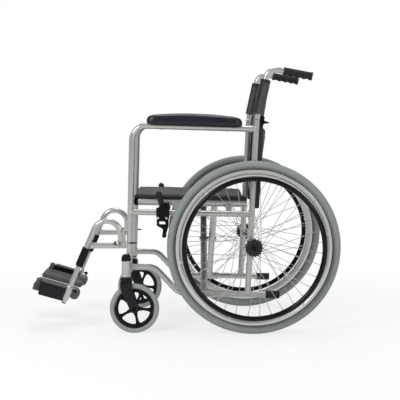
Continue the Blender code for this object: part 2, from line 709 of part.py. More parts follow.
def make_hub():
    """Flanged hub and its spokes, in one piece, with a bore for the axle."""
    profile = [(0.0, -HUB_HALF), (0.0145, -HUB_HALF), (0.0155, -0.0200), (HUB_FLANGE_R, -0.0185),
               (HUB_FLANGE_R, -0.0105), (HUB_R, -0.0085), (HUB_R, 0.0085), (HUB_FLANGE_R, 0.0105),
               (HUB_FLANGE_R, 0.0185), (0.0155, 0.0200), (0.0145, HUB_HALF), (0.0, HUB_HALF)]
    hub = turned(profile, WHEEL_CENTRE, (0, 1, 0), 12)
    centre = Vector(WHEEL_CENTRE)
    bm = bmesh.new()
    for start, end in spoke_bars():
        axis = end - start
        turn = axis.to_track_quat('Z', 'X').to_matrix().to_4x4()
        bmesh.ops.create_cone(
            bm, cap_ends=True, segments=3, radius1=SPOKE_R, radius2=SPOKE_R, depth=axis.length,
            matrix=Matrix.Translation(centre + (start + end) / 2) @ turn)
    return cut(join(hub, from_bmesh(bm)), axle_bore_long())


def axle_bore_long():
    return cylinder((AXLE_X, -WHEEL_PLANE - 0.05, WHEEL_R), (AXLE_X, -WHEEL_PLANE + 0.05, WHEEL_R),
                    AXLE_BORE_R)


def make_handrim():
    """Hand rim tube with tabs that reach back to the rim."""
    centre = Vector(WHEEL_CENTRE) - Vector((0.0, HANDRIM_OUT, 0.0))
    steps = 6
    profile = [(HANDRIM_R + HANDRIM_TUBE_R * math.cos(2 * math.pi * (k + 0.5) / steps),
                HANDRIM_TUBE_R * math.sin(2 * math.pi * (k + 0.5) / steps)) for k in range(steps)]
    ring = turned(profile, centre, (0, 1, 0), WHEEL_SIDES, closed=True, rolls=True)
    tabs = []
    rim_face = -WHEEL_PLANE - RIM_WIDTH / 2 - FIT
    foot_r = WHEEL_R - TYRE_DEPTH - RIM_DEPTH / 2
    for index in range(HANDRIM_TABS):
        angle = 2 * math.pi * (index + 0.18) / HANDRIM_TABS
        out = Vector((math.cos(angle), 0.0, math.sin(angle)))
        across = Vector((-math.sin(angle), 0.0, math.cos(angle))) * 0.006
        hub = Vector((AXLE_X, 0.0, WHEEL_R))
        top = centre.y + 0.003
        outline = [hub + out * (HANDRIM_R - 0.004) - across + Vector((0.0, top, 0.0)),
                   hub + out * (HANDRIM_R + 0.005) - across + Vector((0.0, top, 0.0)),
                   hub + out * (foot_r + 0.006) - across + Vector((0.0, rim_face, 0.0)),
                   hub + out * (foot_r - 0.007) - across + Vector((0.0, rim_face, 0.0))]
        tabs.append(slab(outline, across * 2))
    return join(ring, *tabs)


def make_axle():
    """Axle bolt through the frame's boss and the hub, with its head outside and nut inside."""
    y = -FRAME_HALF + BOSS_HALF + FIT
    outer = -WHEEL_PLANE - HUB_HALF - FIT
    profile = [(0.0, outer - 0.009), (0.007, outer - 0.009), (AXLE_HEAD_R, outer - 0.006),
               (AXLE_HEAD_R, outer), (AXLE_R, outer), (AXLE_R, y), (0.0105, y), (0.0105, y + 0.007),
               (AXLE_R, y + 0.007), (AXLE_R, y + 0.011), (0.0, y + 0.011)]
    return turned(profile, (AXLE_X, 0.0, WHEEL_R), (0, 1, 0), SMALL_ROUND)


# Caster

def make_caster_cap():
    """Domed dust cap on top of the stem housing."""
    base = HOUSING_HIGH + FIT
    profile = [(0.0, base), (HOUSING_R, base), (HOUSING_R + 0.0005, base + 0.008),
               (0.0145, base + 0.016), (0.0095, base + 0.022), (0.0, base + CAP_HEIGHT)]
    return turned(profile, (STEM[0], STEM[1], 0.0), (0, 0, 1), ROUND)


def make_fork():
    """Moulded fork: stem, bulbous crown and two legs that taper to the caster axle."""
    x, y, top = STEM
    crown_top = top - 0.0022
    crown_low = CASTER_CENTRE[2] + CASTER_R + 0.0035
    half = FORK_CROWN_HALF - FORK_LEG_INSET
    profile = [(0.0, crown_low), (half - 0.002, crown_low), (FORK_CROWN_HALF, crown_low + 0.006),
               (FORK_CROWN_HALF, crown_top - 0.007), (half - 0.003, crown_top - 0.001), (0.011, crown_top),
               (STEM_R, crown_top), (STEM_R, HOUSING_HIGH - 0.002), (0.0, HOUSING_HIGH - 0.002)]
    fork = turned(profile, (x, y, 0.0), (0, 0, 1), 12)
    legs = []
    axle_x, _, axle_z = CASTER_CENTRE
    for side in (-1, 1):
        inner = y + side * FORK_GAP_HALF
        outline = [(x - half, crown_top - 0.011), (x - half, crown_top - 0.038),
                   (x - 0.006, axle_z + 0.040), (axle_x - 0.017, axle_z - 0.002)]
        for step in range(6):
            angle = math.radians(200 + 28 * step)
            outline.append((axle_x + 0.0165 * math.cos(angle), axle_z + 0.0165 * math.sin(angle)))
        outline += [(axle_x + 0.0165, axle_z + 0.006), (x + half, crown_top - 0.036),
                    (x + half, crown_top - 0.011)]
        points = [(px, inner, pz) for px, pz in outline]
        legs.append(slab(points, (0.0, side * FORK_LEG_THICK, 0.0)))
    join(fork, *legs)
    bore = cylinder((axle_x, y - 0.05, axle_z), (axle_x, y + 0.05, axle_z), CASTER_AXLE_R + 0.0004)
    return cut(fork, bore)


def make_caster_wheel():
    """Black wheel: rim, five spokes and hub."""
    x, y, z = CASTER_CENTRE
    rim_r = CASTER_R - CASTER_TYRE_DEPTH
    half = CASTER_WIDTH / 2 - 0.003
    profile = [(rim_r, -half), (rim_r - 0.013, -half), (rim_r - 0.017, -half * 0.6),
               (rim_r - 0.017, half * 0.6), (rim_r - 0.013, half), (rim_r, half)]
    wheel = turned(profile, CASTER_CENTRE, (0, 1, 0), CASTER_SIDES, closed=True, rolls=True)
    hub = cylinder((x, y - FORK_GAP_HALF + 0.001, z), (x, y + FORK_GAP_HALF - 0.001, z), 0.0175, 12)
    spokes = []
    for index in range(CASTER_SPOKES):
        angle = math.radians(CASTER_TURN + 360 / CASTER_SPOKES * index)
        out = Vector((math.cos(angle), 0.0, math.sin(angle)))
        across = Vector((-math.sin(angle), 0.0, math.cos(angle)))
        centre = Vector((x, y - 0.0045, z))
        outline = [centre + out * 0.010 - across * 0.0085, centre + out * 0.010 + across * 0.0085,
                   centre + out * (rim_r - 0.010) + across * 0.0055,
                   centre + out * (rim_r - 0.010) - across * 0.0055]
        spokes.append(slab(outline, (0.0, 0.009, 0.0)))
    join(wheel, hub, *spokes)
    bore = cylinder((x, y - 0.05, z), (x, y + 0.05, z), CASTER_AXLE_R + 0.0004)
    return cut(wheel, bore)


def make_caster_tyre():
    """Solid tyre with a rounded tread."""
    inner = CASTER_R - CASTER_TYRE_DEPTH + FIT
    half = CASTER_WIDTH / 2
    profile = [(CASTER_R, -0.0050), (CASTER_R - 0.0030, -half * 0.74), (CASTER_R - 0.0100, -half),
               (inner, -half * 0.78), (inner, half * 0.78), (CASTER_R - 0.0100, half),
               (CASTER_R - 0.0030, half * 0.74), (CASTER_R, 0.0050)]
    return turned(profile, CASTER_CENTRE, (0, 1, 0), CASTER_SIDES, closed=True, rolls=True)


def make_caster_axle():
    """Bolt through both legs of the fork, with a low head and a nut."""
    outer = FORK_GAP_HALF + FORK_LEG_THICK + FIT
    profile = [(0.0, -outer - 0.004), (0.0055, -outer - 0.004), (0.0075, -outer - 0.002), (0.0075, -outer),
               (CASTER_AXLE_R, -outer), (CASTER_AXLE_R, outer), (0.0075, outer), (0.0075, outer + 0.004),
               (0.0, outer + 0.004)]
    return turned(profile, CASTER_CENTRE, (0, 1, 0), SMALL_ROUND)


# Cross brace

def make_brace_arm(distance, side):
    """An arm from the lower rail on one side up to the seat rail on the other.

    It has a sleeve round the lower rail, a hole for the pivot bolt and its seat rail on top.
    """
    crossing = brace_geometry()
    lean = math.tan(FRAME_TILT)
    x = ahead(distance)
    low = Vector((x - (crossing.z - rail_height(LOW_RAIL_Z, x)) * lean, side * FRAME_HALF,
                  rail_height(LOW_RAIL_Z, x)))
    high_y = -side * (FRAME_HALF - RAIL_INSET)
    high = Vector((x + (rail_height(SEAT_RAIL_Z, x) - crossing.z) * lean, high_y,
                   rail_height(SEAT_RAIL_Z, x)))
    arm = tube([low, high], BRACE_R)
    front, rear = low.x - BRACE_SLEEVE_HALF, low.x + BRACE_SLEEVE_HALF
    sleeve = tube([(front, low.y, rail_height(LOW_RAIL_Z, front)),
                   (rear, low.y, rail_height(LOW_RAIL_Z, rear))], BRACE_SLEEVE_R)
    rail = seat_rail_bar(TUBE_R)
    if high_y > 0:
        rail.data.transform(Matrix.Scale(-1.0, 4, (0.0, 1.0, 0.0)))
        rail.data.flip_normals()
    join(arm, sleeve, rail)
    reach = 0.08
    bore = tube([(low.x - reach, low.y, rail_height(LOW_RAIL_Z, low.x - reach)),
                 (low.x + reach, low.y, rail_height(LOW_RAIL_Z, low.x + reach))], TUBE_R + SLEEVE_GAP)
    return cut(arm, bore, pivot_bar(0.0046, 0.08))


def pivot_bar(radius, half):
    """A bar on the pivot's line, which slopes with the rails."""
    centre = brace_geometry()
    along = Vector((math.cos(FRAME_TILT), 0.0, -math.sin(FRAME_TILT)))
    return cylinder(centre - along * half, centre + along * half, radius, 12)


def make_pivot_bolt():
    """Bolt through both arms with a head, a spacer between the arms and a nut."""
    centre = brace_geometry()
    along = Vector((math.cos(FRAME_TILT), 0.0, -math.sin(FRAME_TILT)))
    gap = (BRACE_FRONT_AHEAD - BRACE_REAR_AHEAD) / 2
    face = gap + BRACE_R + FIT
    spacer = gap - BRACE_R - FIT
    profile = [(0.0, -face - 0.0055), (0.0072, -face - 0.0055), (0.0072, -face), (0.0042, -face),
               (0.0042, -spacer), (0.0085, -spacer), (0.0085, spacer), (0.0042, spacer), (0.0042, face),
               (0.0072, face), (0.0072, face + 0.0065), (0.0, face + 0.0065)]
    return turned(profile, centre, along, SMALL_ROUND)


def make_rail_cap():
    """Plastic cap on the front end of a seat rail."""
    front = Vector((ahead(SEAT_FRONT_AHEAD), -FRAME_HALF + RAIL_INSET, 0.0))
    front.z = rail_height(SEAT_RAIL_Z, front.x)
    along = Vector((math.cos(FRAME_TILT), 0.0, -math.sin(FRAME_TILT)))
    profile = [(0.0, 0.0), (0.009, 0.0), (0.0113, 0.0025), (0.0113, RAIL_CAP_LENGTH - FIT),
               (0.0, RAIL_CAP_LENGTH - FIT)]
    return turned(profile, front, along, ROUND)


# Sling seat and back

def make_seat_sling():
    """Padded sling over both seat rails: it sags between them and its front edge is rolled."""
    rail_y = FRAME_HALF - RAIL_INSET
    rest = TUBE_R + FIT * 2
    # Close together over each rail, so that the cloth lies on it, and wider apart between them.
    half_places = [rail_y + SLING_WRAP, rail_y + SLING_WRAP * 0.5, rail_y]
    half_places += [rail_y * share for share in (0.95, 0.82, 0.60, 0.32)]
    places = [-place for place in half_places] + [0.0] + half_places[::-1]
    sections = []
    front, rear = ahead(SEAT_FRONT_AHEAD - 0.001), ahead(SEAT_REAR_AHEAD + 0.001)
    stations = [(0.0, 0.55), (0.012, 0.92), (0.045, 1.03), (0.20, 1.0), (0.35, 1.0),
                (rear - front - 0.012, 0.95), (rear - front, 0.6)]
    for distance, fullness in stations:
        x = front + distance
        rail = rail_height(SEAT_RAIL_Z, x)
        length_share = distance / (rear - front)
        sag = SLING_SAG * (0.55 + 0.45 * math.sin(math.pi * min(1.0, 0.15 + length_share)))
        top, under = [], []
        for y in places:
            inside = min(1.0, abs(y) / rail_y)
            dip = sag * (1 - inside * inside)
            over = max(0.0, abs(y) - rail_y) / SLING_WRAP
            bottom = rail + rest - dip
            under.append((x, y, bottom))
            edge_thin = 1.0 - 0.25 * over
            top.append((x, y, bottom + SLING_THICK * fullness * edge_thin))
        sections.append(under + top[::-1])
    return loft(sections)


def back_section(y, sag, front_gap, thick):
    """Offsets behind the posts of the front and rear faces of a back panel, at world Y."""
    share = min(1.0, abs(y) / FRAME_HALF)
    behind = front_gap + sag * (1 - share * share)
    return behind, behind + thick


def make_back_upper():
    """Upper back panel: a sleeve round each cane and a sling between them that bows backwards."""
    low = (BACK_SLING_Z - BACK_HINGE_Z) / math.cos(BACK_LEAN)
    high = (BACK_TOP_Z - BACK_HINGE_Z) / math.cos(BACK_LEAN)
    across = 14
    sections = []
    rows = 3
    for step in range(rows + 1):
        height = low + (high - low) * step / rows
        sag = BACK_SAG * (0.80 + 0.20 * math.cos(math.pi * step / rows))
        front, rear = [], []
        for index in range(across + 1):
            y = FRAME_HALF * (2 * index / across - 1)
            near, far = back_section(y, sag, 0.0035, BACK_THICK)
            front.append(back_place(height, near, y))
            rear.append(back_place(height, far, y))
        sections.append(front + rear[::-1])
    panel = loft(sections)
    sleeves = []
    bores = []
    for side in (-1, 1):
        y = side * FRAME_HALF
        sleeves.append(cylinder(back_place(low - 0.001, 0.0025, y), back_place(high + 0.001, 0.0025, y),
                                SLEEVE_R, 12))
        bores.append(cylinder(back_place(low - 0.02, 0.0, y), back_place(high + 0.02, 0.0, y),
                              TUBE_R + SLEEVE_GAP, ROUND))
    join(panel, *sleeves)
    return cut(panel, *bores)


def make_back_lower():
    """Lower back panel, behind the rear posts, from the hinge down to the seat."""
    across = 14
    sections = []
    top_z = BACK_HINGE_Z - BACK_LOWER_GAP
    rows = 5
    for step in range(rows + 1):
        z = BACK_LOW_Z + (top_z - BACK_LOW_Z) * step / rows
        sag = BACK_SAG * (0.78 + 0.22 * math.sin(math.pi * step / rows))
        front, rear = [], []
        for index in range(across + 1):
            y = (FRAME_HALF + 0.006) * (2 * index / across - 1)
            near, far = back_section(y, sag, TUBE_R + FIT * 2, BACK_THICK)
            front.append((post_x(z) + near, y, z))
            rear.append((post_x(z) + far, y, z))
        sections.append(front + rear[::-1])
    return loft(sections)


def make_arm_pad():
    """Padded arm rest: crowned top, rounded ends, and a groove that seats on the arm rail."""
    front, rear = ahead(PAD_FRONT_AHEAD), ahead(PAD_REAR_AHEAD)
    length = rear - front
    around = 14
    ends = [(0.0, 0.36), (0.003, 0.66), (0.009, 0.85), (0.020, 0.965), (0.040, 1.0)]
    stations = ends + [(length / 2, 1.0)] + [(length - d, s) for d, s in reversed(ends)]
    sections = []
    for distance, size in stations:
        x = front + distance
        low = arm_z(x) + PAD_SKIRT
        high = arm_z(x) + PAD_RISE - PAD_CROWN * (2 * distance / length - 1) ** 2
        middle = low + (high - low) * 0.42
        ring = []
        for step in range(around):
            angle = 2 * math.pi * step / around
            c, s = math.cos(angle), math.sin(angle)
            wide = PAD_HALF * (0.75 + 0.25 * size) * math.copysign(abs(c) ** 0.75, c)
            tall = (high - middle) if s > 0 else (middle - low)
            near_end = abs(distance - length / 2) > length / 2 - 0.03
            ring.append((x, -FRAME_HALF + wide * (size if near_end else 1),
                         middle + tall * size * math.copysign(abs(s) ** 0.7, s)))
        sections.append(ring)
    pad = loft(sections)
    start, end = front - 0.05, rear + 0.03
    groove = tube([(start, -FRAME_HALF, arm_z(start)), (end, -FRAME_HALF, arm_z(end))], TUBE_R + 0.0006)
    return cut(pad, groove)


# Upper back cane, handle and lever

def make_back_cane():
    """Upper cane with the push handle bend, and the two outer leaves of the hinge."""
    bottom = back_place(-0.004)
    corner_height = (HANDLE_Z + CORNER_RISE - BACK_HINGE_Z) / math.cos(BACK_LEAN)
    corner = back_place(corner_height)
    end = corner + Vector((math.cos(HANDLE_DROP), 0.0, -math.sin(HANDLE_DROP))) * HANDLE_LENGTH
    cane = tube(rounded_path([bottom, corner, end], HANDLE_BEND_R, 7), TUBE_R)
    x, y, z = BACK_HINGE
    below_low = (bottom.x - 0.03, y - 0.03, BACK_HINGE_Z - 0.03)
    cut(cane, box(below_low, (bottom.x + 0.03, y + 0.03, BACK_HINGE_Z)))
    leaves = []
    for side in (-1, 1):
        root = bottom.x
        outline = [(root, z + 0.0115), (root, z - 0.0015), (x - 0.0062, z - 0.0015)]
        for step in range(6):
            angle = math.radians(210 + 34 * step)
            outline.append((x + KNUCKLE_R * math.cos(angle), z + KNUCKLE_R * math.sin(angle)))
        outline.append((x - 0.004, z + 0.0115))
        inner = y + side * 0.0029
        leaves.append(slab([(px, inner, pz) for px, pz in outline], (0.0, side * 0.0038, 0.0)))
    join(cane, *leaves)
    bore = cylinder((x, y - 0.02, z), (x, y + 0.02, z), 0.0029, 8)
    leaf_room = box((x - 0.012, y - 0.0029, BACK_HINGE_Z - 0.01), (x + 0.02, y + 0.0029, z + 0.0072))
    return cut(cane, bore, leaf_room)


def grip_axis():
    """Start and direction of the grip, along the handle."""
    corner_height = (HANDLE_Z + CORNER_RISE - BACK_HINGE_Z) / math.cos(BACK_LEAN)
    corner = back_place(corner_height)
    along = Vector((math.cos(HANDLE_DROP), 0.0, -math.sin(HANDLE_DROP)))
    return corner + along * GRIP_START, along


def make_grip():
    """Ribbed push grip with a closed rear end, over the handle tube."""
    start, along = grip_axis()
    profile = [(TUBE_R + 0.0005, 0.0), (GRIP_R - 0.001, 0.0), (GRIP_R, 0.003)]
    for index in range(GRIP_RIBS):
        at = 0.016 + index * (GRIP_LENGTH - 0.030) / (GRIP_RIBS - 1)
        profile += [(GRIP_R - 0.0018, at - 0.004), (GRIP_R, at + 0.004)]
    profile += [(GRIP_R + 0.001, GRIP_LENGTH - 0.006), (GRIP_R - 0.001, GRIP_LENGTH), (0.0, GRIP_LENGTH),
                (0.0, GRIP_LENGTH - 0.0028), (TUBE_R + 0.0005, GRIP_LENGTH - 0.0028)]
    return turned(profile, start, along, ROUND, closed=True)


def make_back_lever():
    """Release lever of the back hinge: two cheeks on its pin and a pointed tail."""
    x, y, z = LEVER_PIN
    outline = [(x - 0.0038, z + 0.0012), (x - 0.0028, z - 0.0036), (x + 0.004, z - 0.0048),
               (x + 0.0165, z - 0.0040), (x + 0.0182, z - 0.0022), (x + 0.0165, z - 0.0004),
               (x + 0.0095, z + 0.0030), (x + 0.002, z + 0.0038), (x - 0.002, z + 0.0036)]
    lever = slab([(px, y - 0.0072, pz) for px, pz in outline], (0.0, 0.0144, 0.0))
    room = box((x - 0.02, y - 0.0030, z - 0.02), (x + 0.0048, y + 0.0030, z + 0.02))
    bore = cylinder((x, y - 0.02, z), (x, y + 0.02, z), 0.0021, 8)
    return cut(lever, room, bore)


# Hanger and footrest

def hanger_path():
    """Rear leg, hoop and slanted tube of the hanger, as one bent tube."""
    leg_x = ahead(HANGER_LEG_AHEAD)
    slope = math.tan(HANGER_SLOPE)
    reference = on_hanger(0.0)
    turn = math.pi - HANGER_SLOPE
    # The hoop touches the leg's line, the top height and the slanted line, which gives its radius.
    line_x_at_top = reference.x + (HANGER_TOP_Z - reference.z) * slope
    radius = (leg_x - line_x_at_top) / (1 - math.cos(turn) - (1 - math.sin(turn)) * slope)
    centre = Vector((leg_x - radius, -FRAME_HALF, HANGER_TOP_Z - radius))
    points = [Vector((leg_x, -FRAME_HALF, STRUT_Z))]
    steps = 9
    for step in range(steps + 1):
        angle = turn * step / steps
        points.append(centre + Vector((math.cos(angle), 0.0, math.sin(angle))) * radius)
    points.append(on_hanger(LEG_SLEEVE_LENGTH - 0.005))
    return points


def make_hanger():
    """Hanger weldment: hoop, strut and hinge barrel, hollow at its foot for the foot tube."""
    hanger = tube(hanger_path(), HANGER_TUBE_R)
    strut_front = on_hanger((HANGER_FOOT_Z - STRUT_Z) / math.cos(HANGER_SLOPE))
    strut = tube([strut_front, (ahead(HANGER_LEG_AHEAD) + 0.0005, -FRAME_HALF, STRUT_Z)], STRUT_R)
    low = LUG_LOW_Z + LUG_THICK / 2 + 0.0006
    high = LUG_HIGH_Z - LUG_THICK / 2 - 0.0006
    barrel = cylinder((HANGER_AXIS[0], -FRAME_HALF, low), (HANGER_AXIS[0], -FRAME_HALF, high),
                      HINGE_BARREL_R, 10)
    x, y, z = LATCH_PIVOT
    ears = [box((x - 0.003, y - 0.002, z + height), (x + 0.003, -FRAME_HALF - 0.004, z + height + 0.002))
            for height in (-0.0055, 0.0035)]
    pin = cylinder((x, y, z - 0.005), (x, y, z + 0.005), LATCH_PIN_R, SMALL_ROUND)
    join(hanger, strut, barrel, *ears, pin)
    pin_bore = cylinder((HANGER_AXIS[0], -FRAME_HALF, low - 0.03), (HANGER_AXIS[0], -FRAME_HALF, high + 0.03),
                        HINGE_PIN_R + 0.0004, 8)
    lug_room = [box((HANGER_AXIS[0] - 0.0072, -FRAME_HALF - 0.012, height - LUG_THICK / 2 - 0.0006),
                    (HANGER_AXIS[0] + 0.02, -FRAME_HALF + 0.012, height + LUG_THICK / 2 + 0.0006))
                for height in (LUG_HIGH_Z, LUG_LOW_Z)]
    bore = cylinder(on_hanger(LEG_SLEEVE_LENGTH + 0.02), on_hanger(LEG_SLEEVE_LENGTH - 0.105),
                    FOOT_TUBE_BORE_R, 12)
    return cut(hanger, pin_bore, bore, *lug_room)


def make_leg_sleeve():
    """Plastic sleeve over the foot of the hanger, with a collar that guides the foot tube."""
    start = on_hanger(LEG_SLEEVE_START)
    along = (on_hanger(1.0) - on_hanger(0.0)).normalized()
    tube_end = LEG_SLEEVE_LENGTH - 0.005 + FIT
    inner = HANGER_TUBE_R + 0.0006
    profile = [(inner, 0.0), (LEG_SLEEVE_R - 0.0008, 0.0), (LEG_SLEEVE_R, 0.002),
               (LEG_SLEEVE_R, LEG_SLEEVE_LENGTH - 0.003), (LEG_SLEEVE_R - 0.001, LEG_SLEEVE_LENGTH),
               (FOOT_TUBE_BORE_R + 0.0002, LEG_SLEEVE_LENGTH), (FOOT_TUBE_BORE_R + 0.0002, tube_end),
               (inner, tube_end)]
    return turned(profile, start, along, ROUND, closed=True)


def make_latch():
    """Release latch on the outside of the hanger's leg: a bar with a round thumb knob."""
    x, y, z = LATCH_PIVOT
    bar = box((x - 0.015, y - 0.0020, z - 0.003), (x + 0.0025, y + 0.0020, z + 0.003))
    knob = cylinder((x - 0.014, y - 0.0042, z + 0.0005), (x - 0.014, y + 0.0018, z + 0.0005), 0.0068, ROUND)
    bore = cylinder((x, y, z - 0.02), (x, y, z + 0.02), LATCH_PIN_R + 0.0004, SMALL_ROUND)
    return cut(join(bar, knob), bore)


def make_foot_tube():
    """Inner tube that slides in the hanger and carries the footplate."""
    return cylinder(on_hanger(LEG_SLEEVE_LENGTH - 0.005 - FOOT_OVERLAP), on_hanger(FOOT_TUBE_END),
                    FOOT_TUBE_R, ROUND)


def make_hinge_block():
    """Moulded block with a clamp round the foot tube and the pin that the footplate flips on."""
    outer, inner = -BLOCK_OUTER, -BLOCK_INNER
    corners = [on_plate(BLOCK_REAR, outer, BLOCK_OVER), on_plate(BLOCK_FRONT, outer, BLOCK_OVER),
               on_plate(BLOCK_FRONT, outer, -BLOCK_UNDER + 0.008),
               on_plate(BLOCK_FRONT - 0.012, outer, -BLOCK_UNDER),
               on_plate(BLOCK_REAR, outer, -BLOCK_UNDER)]
    outline = rounded_outline(corners, [0.006, 0.006, 0.003, 0.004, 0.004], 2)
    block = slab(outline, (0.0, inner - outer, 0.0))
    clamp_mid = (HANGER_FOOT_Z - (PIN_Z - 0.022)) / math.cos(HANGER_SLOPE)
    clamp = cylinder(on_hanger(clamp_mid - 0.024), on_hanger(clamp_mid + 0.022), FOOT_TUBE_R + CLAMP_WALL, 12)
    clamp_side = -FRAME_HALF - CLAMP_CUT
    open_side = box((on_hanger(clamp_mid + 0.05).x, clamp_side - 0.02, PIN_Z - 0.06),
                    (on_hanger(clamp_mid - 0.05).x + 0.01, clamp_side, PIN_Z + 0.04))
    cut(clamp, open_side)
    corners = [on_plate(SHOULDER_REAR, outer + 0.0004, BLOCK_OVER - 0.0004),
               on_plate(BLOCK_REAR + 0.008, outer + 0.0004, BLOCK_OVER - 0.0004),
               on_plate(BLOCK_REAR + 0.008, outer + 0.0004, -BLOCK_UNDER + 0.0004),
               on_plate(SHOULDER_REAR, outer + 0.0004, -BLOCK_UNDER + 0.0004)]
    shoulder = slab(rounded_outline(corners, [0.004, 0.0, 0.0, 0.004], 2),
                    (0.0, -SHOULDER_INNER - outer - 0.0004, 0.0))
    clamp_x = on_hanger(clamp_mid).x
    web_front = on_plate(BLOCK_REAR + 0.006, 0.0, 0.0).x
    web = box((web_front, clamp_side, PIN_Z - 0.038),
              (clamp_x - 0.004, -FRAME_HALF + 0.0085, PIN_Z - 0.010))
    pin_y = -FRAME_HALF + PIN_INSET
    pin = cylinder(on_plate(BLOCK_REAR - PIN_TAIL, pin_y, 0.0),
                   on_plate(BLOCK_FRONT + BARREL_LENGTH + 0.002, pin_y, 0.0), FLIP_PIN_R, 10)
    join(block, clamp, shoulder, web, pin)
    bore = cylinder(on_hanger(clamp_mid - 0.08), on_hanger(clamp_mid + 0.08), FOOT_TUBE_R + FIT * 1.5, ROUND)
    return cut(block, bore)


def make_footplate():
    """Footplate with rounded corners, a ribbed tread and two ears that turn on the pin."""
    pin_y = -FRAME_HALF + PIN_INSET
    inner = pin_y + PLATE_REACH
    outer = -BLOCK_INNER + 0.0012
    front = PLATE_MIDDLE + PLATE_LENGTH / 2
    rear = PLATE_MIDDLE - PLATE_LENGTH / 2
    low = -PLATE_DROP - PLATE_THICK
    corners = [on_plate(rear, outer, low), on_plate(front, outer, low), on_plate(front, inner, low),
               on_plate(rear, inner, low)]
    outline = rounded_outline(corners, [0.010, 0.016, PLATE_CORNER_R, PLATE_CORNER_R], 3)
    square = (on_plate(0, 0, 1) - on_plate(0, 0, 0)).normalized()
    plate = slab(outline, square * PLATE_THICK)
    ears = []
    ear_spans = ((BLOCK_FRONT + 0.0008, BLOCK_FRONT + BARREL_LENGTH),
                 (BLOCK_REAR - 0.0100, BLOCK_REAR - 0.0008))
    for near, far in ear_spans:
        ears.append(cylinder(on_plate(near, pin_y, 0.0), on_plate(far, pin_y, 0.0), BARREL_R, ROUND))
        # The web stops just short of the ear's ends, so that no two faces lie in one plane.
        first, last = near + 0.0004, far - 0.0004
        web = [on_plate(first, pin_y - 0.004, 0.0), on_plate(first, pin_y + 0.0080, 0.002),
               on_plate(first, outer + 0.010, -PLATE_DROP - 0.002), on_plate(first, outer + 0.004, low + 0.002),
               on_plate(first, pin_y - 0.004, low + 0.006)]
        ears.append(slab(web, on_plate(last, 0, 0) - on_plate(first, 0, 0)))
    grooves = []
    for index in range(6):
        side = outer + 0.030 + index * 0.019
        start = on_plate(rear + 0.024, side, -PLATE_DROP - 0.0012)
        half = Vector((0.0, 0.0035, 0.0))
        end = on_plate(front - 0.024, side, -PLATE_DROP - 0.0012)
        grooves.append(slab([start - half, start + half, end + half, end - half], square * 0.01))
    join(plate, *ears)
    bore = cylinder(on_plate(rear - 0.05, pin_y, 0.0), on_plate(front + 0.05, pin_y, 0.0),
                    FLIP_PIN_R + 0.0004, ROUND)
    return cut(plate, bore, *grooves)


def make_foot_screw():
    """Clamp screw with a knob, behind the foot tube, which holds the block's height."""
    clamp_mid = (HANGER_FOOT_Z - (PIN_Z - 0.018)) / math.cos(HANGER_SLOPE)
    centre = on_hanger(clamp_mid)
    out = Vector((math.cos(HANGER_SLOPE), 0.0, -math.sin(HANGER_SLOPE)))
    start = FOOT_TUBE_R + CLAMP_WALL + FIT
    profile = [(0.0, start), (0.0034, start), (0.0034, start + 0.004), (0.0068, start + 0.005),
               (0.0068, start + 0.013), (0.005, start + 0.0145), (0.0, start + 0.0145)]
    return turned(profile, centre, out, SMALL_ROUND)


# Brake

def make_brake_plate():
    """Brake bracket outside the side rail, clamped by two bolts and a strap inside."""
    front, rear = (ahead(distance) for distance in BRAKE_PLATE_AHEAD)
    low, high = BRAKE_PLATE_Z
    corners = [(front, BRAKE_OUT, low), (rear, BRAKE_OUT, low), (rear, BRAKE_OUT, high),
               (front + 0.020, BRAKE_OUT, high), (front + 0.016, BRAKE_OUT, high - 0.012),
               (front, BRAKE_OUT, high - 0.016)]
    outline = rounded_outline(corners, [0.005, 0.005, 0.004, 0.003, 0.002, 0.004], 2)
    plate = slab(outline, (0.0, -BRAKE_PLATE_THICK, 0.0))
    inside = -FRAME_HALF + TUBE_R + 0.0005
    strap = box((front + 0.003, inside, low + 0.0005), (rear - 0.003, inside + 0.004, BRAKE_BOLT_Z + 0.022))
    pieces = [strap]
    for distance in BRAKE_BOLTS_AHEAD:
        x = ahead(distance)
        pieces.append(cylinder((x, BRAKE_OUT - BRAKE_PLATE_THICK + 0.001, BRAKE_BOLT_Z - 0.0005),
                               (x, inside + 0.003, BRAKE_BOLT_Z - 0.0005), 0.0034, SMALL_ROUND))
    x, y, z = LEVER_PIVOT
    pieces.append(cylinder((x, y + 0.001, z), (x, y - 0.0085, z), 0.0032, SMALL_ROUND))
    x, y, z = SHOE_PIVOT
    pieces.append(cylinder((x, y + 0.001, z), (x, y - 0.0070, z), 0.0030, SMALL_ROUND))
    return join(plate, *pieces)


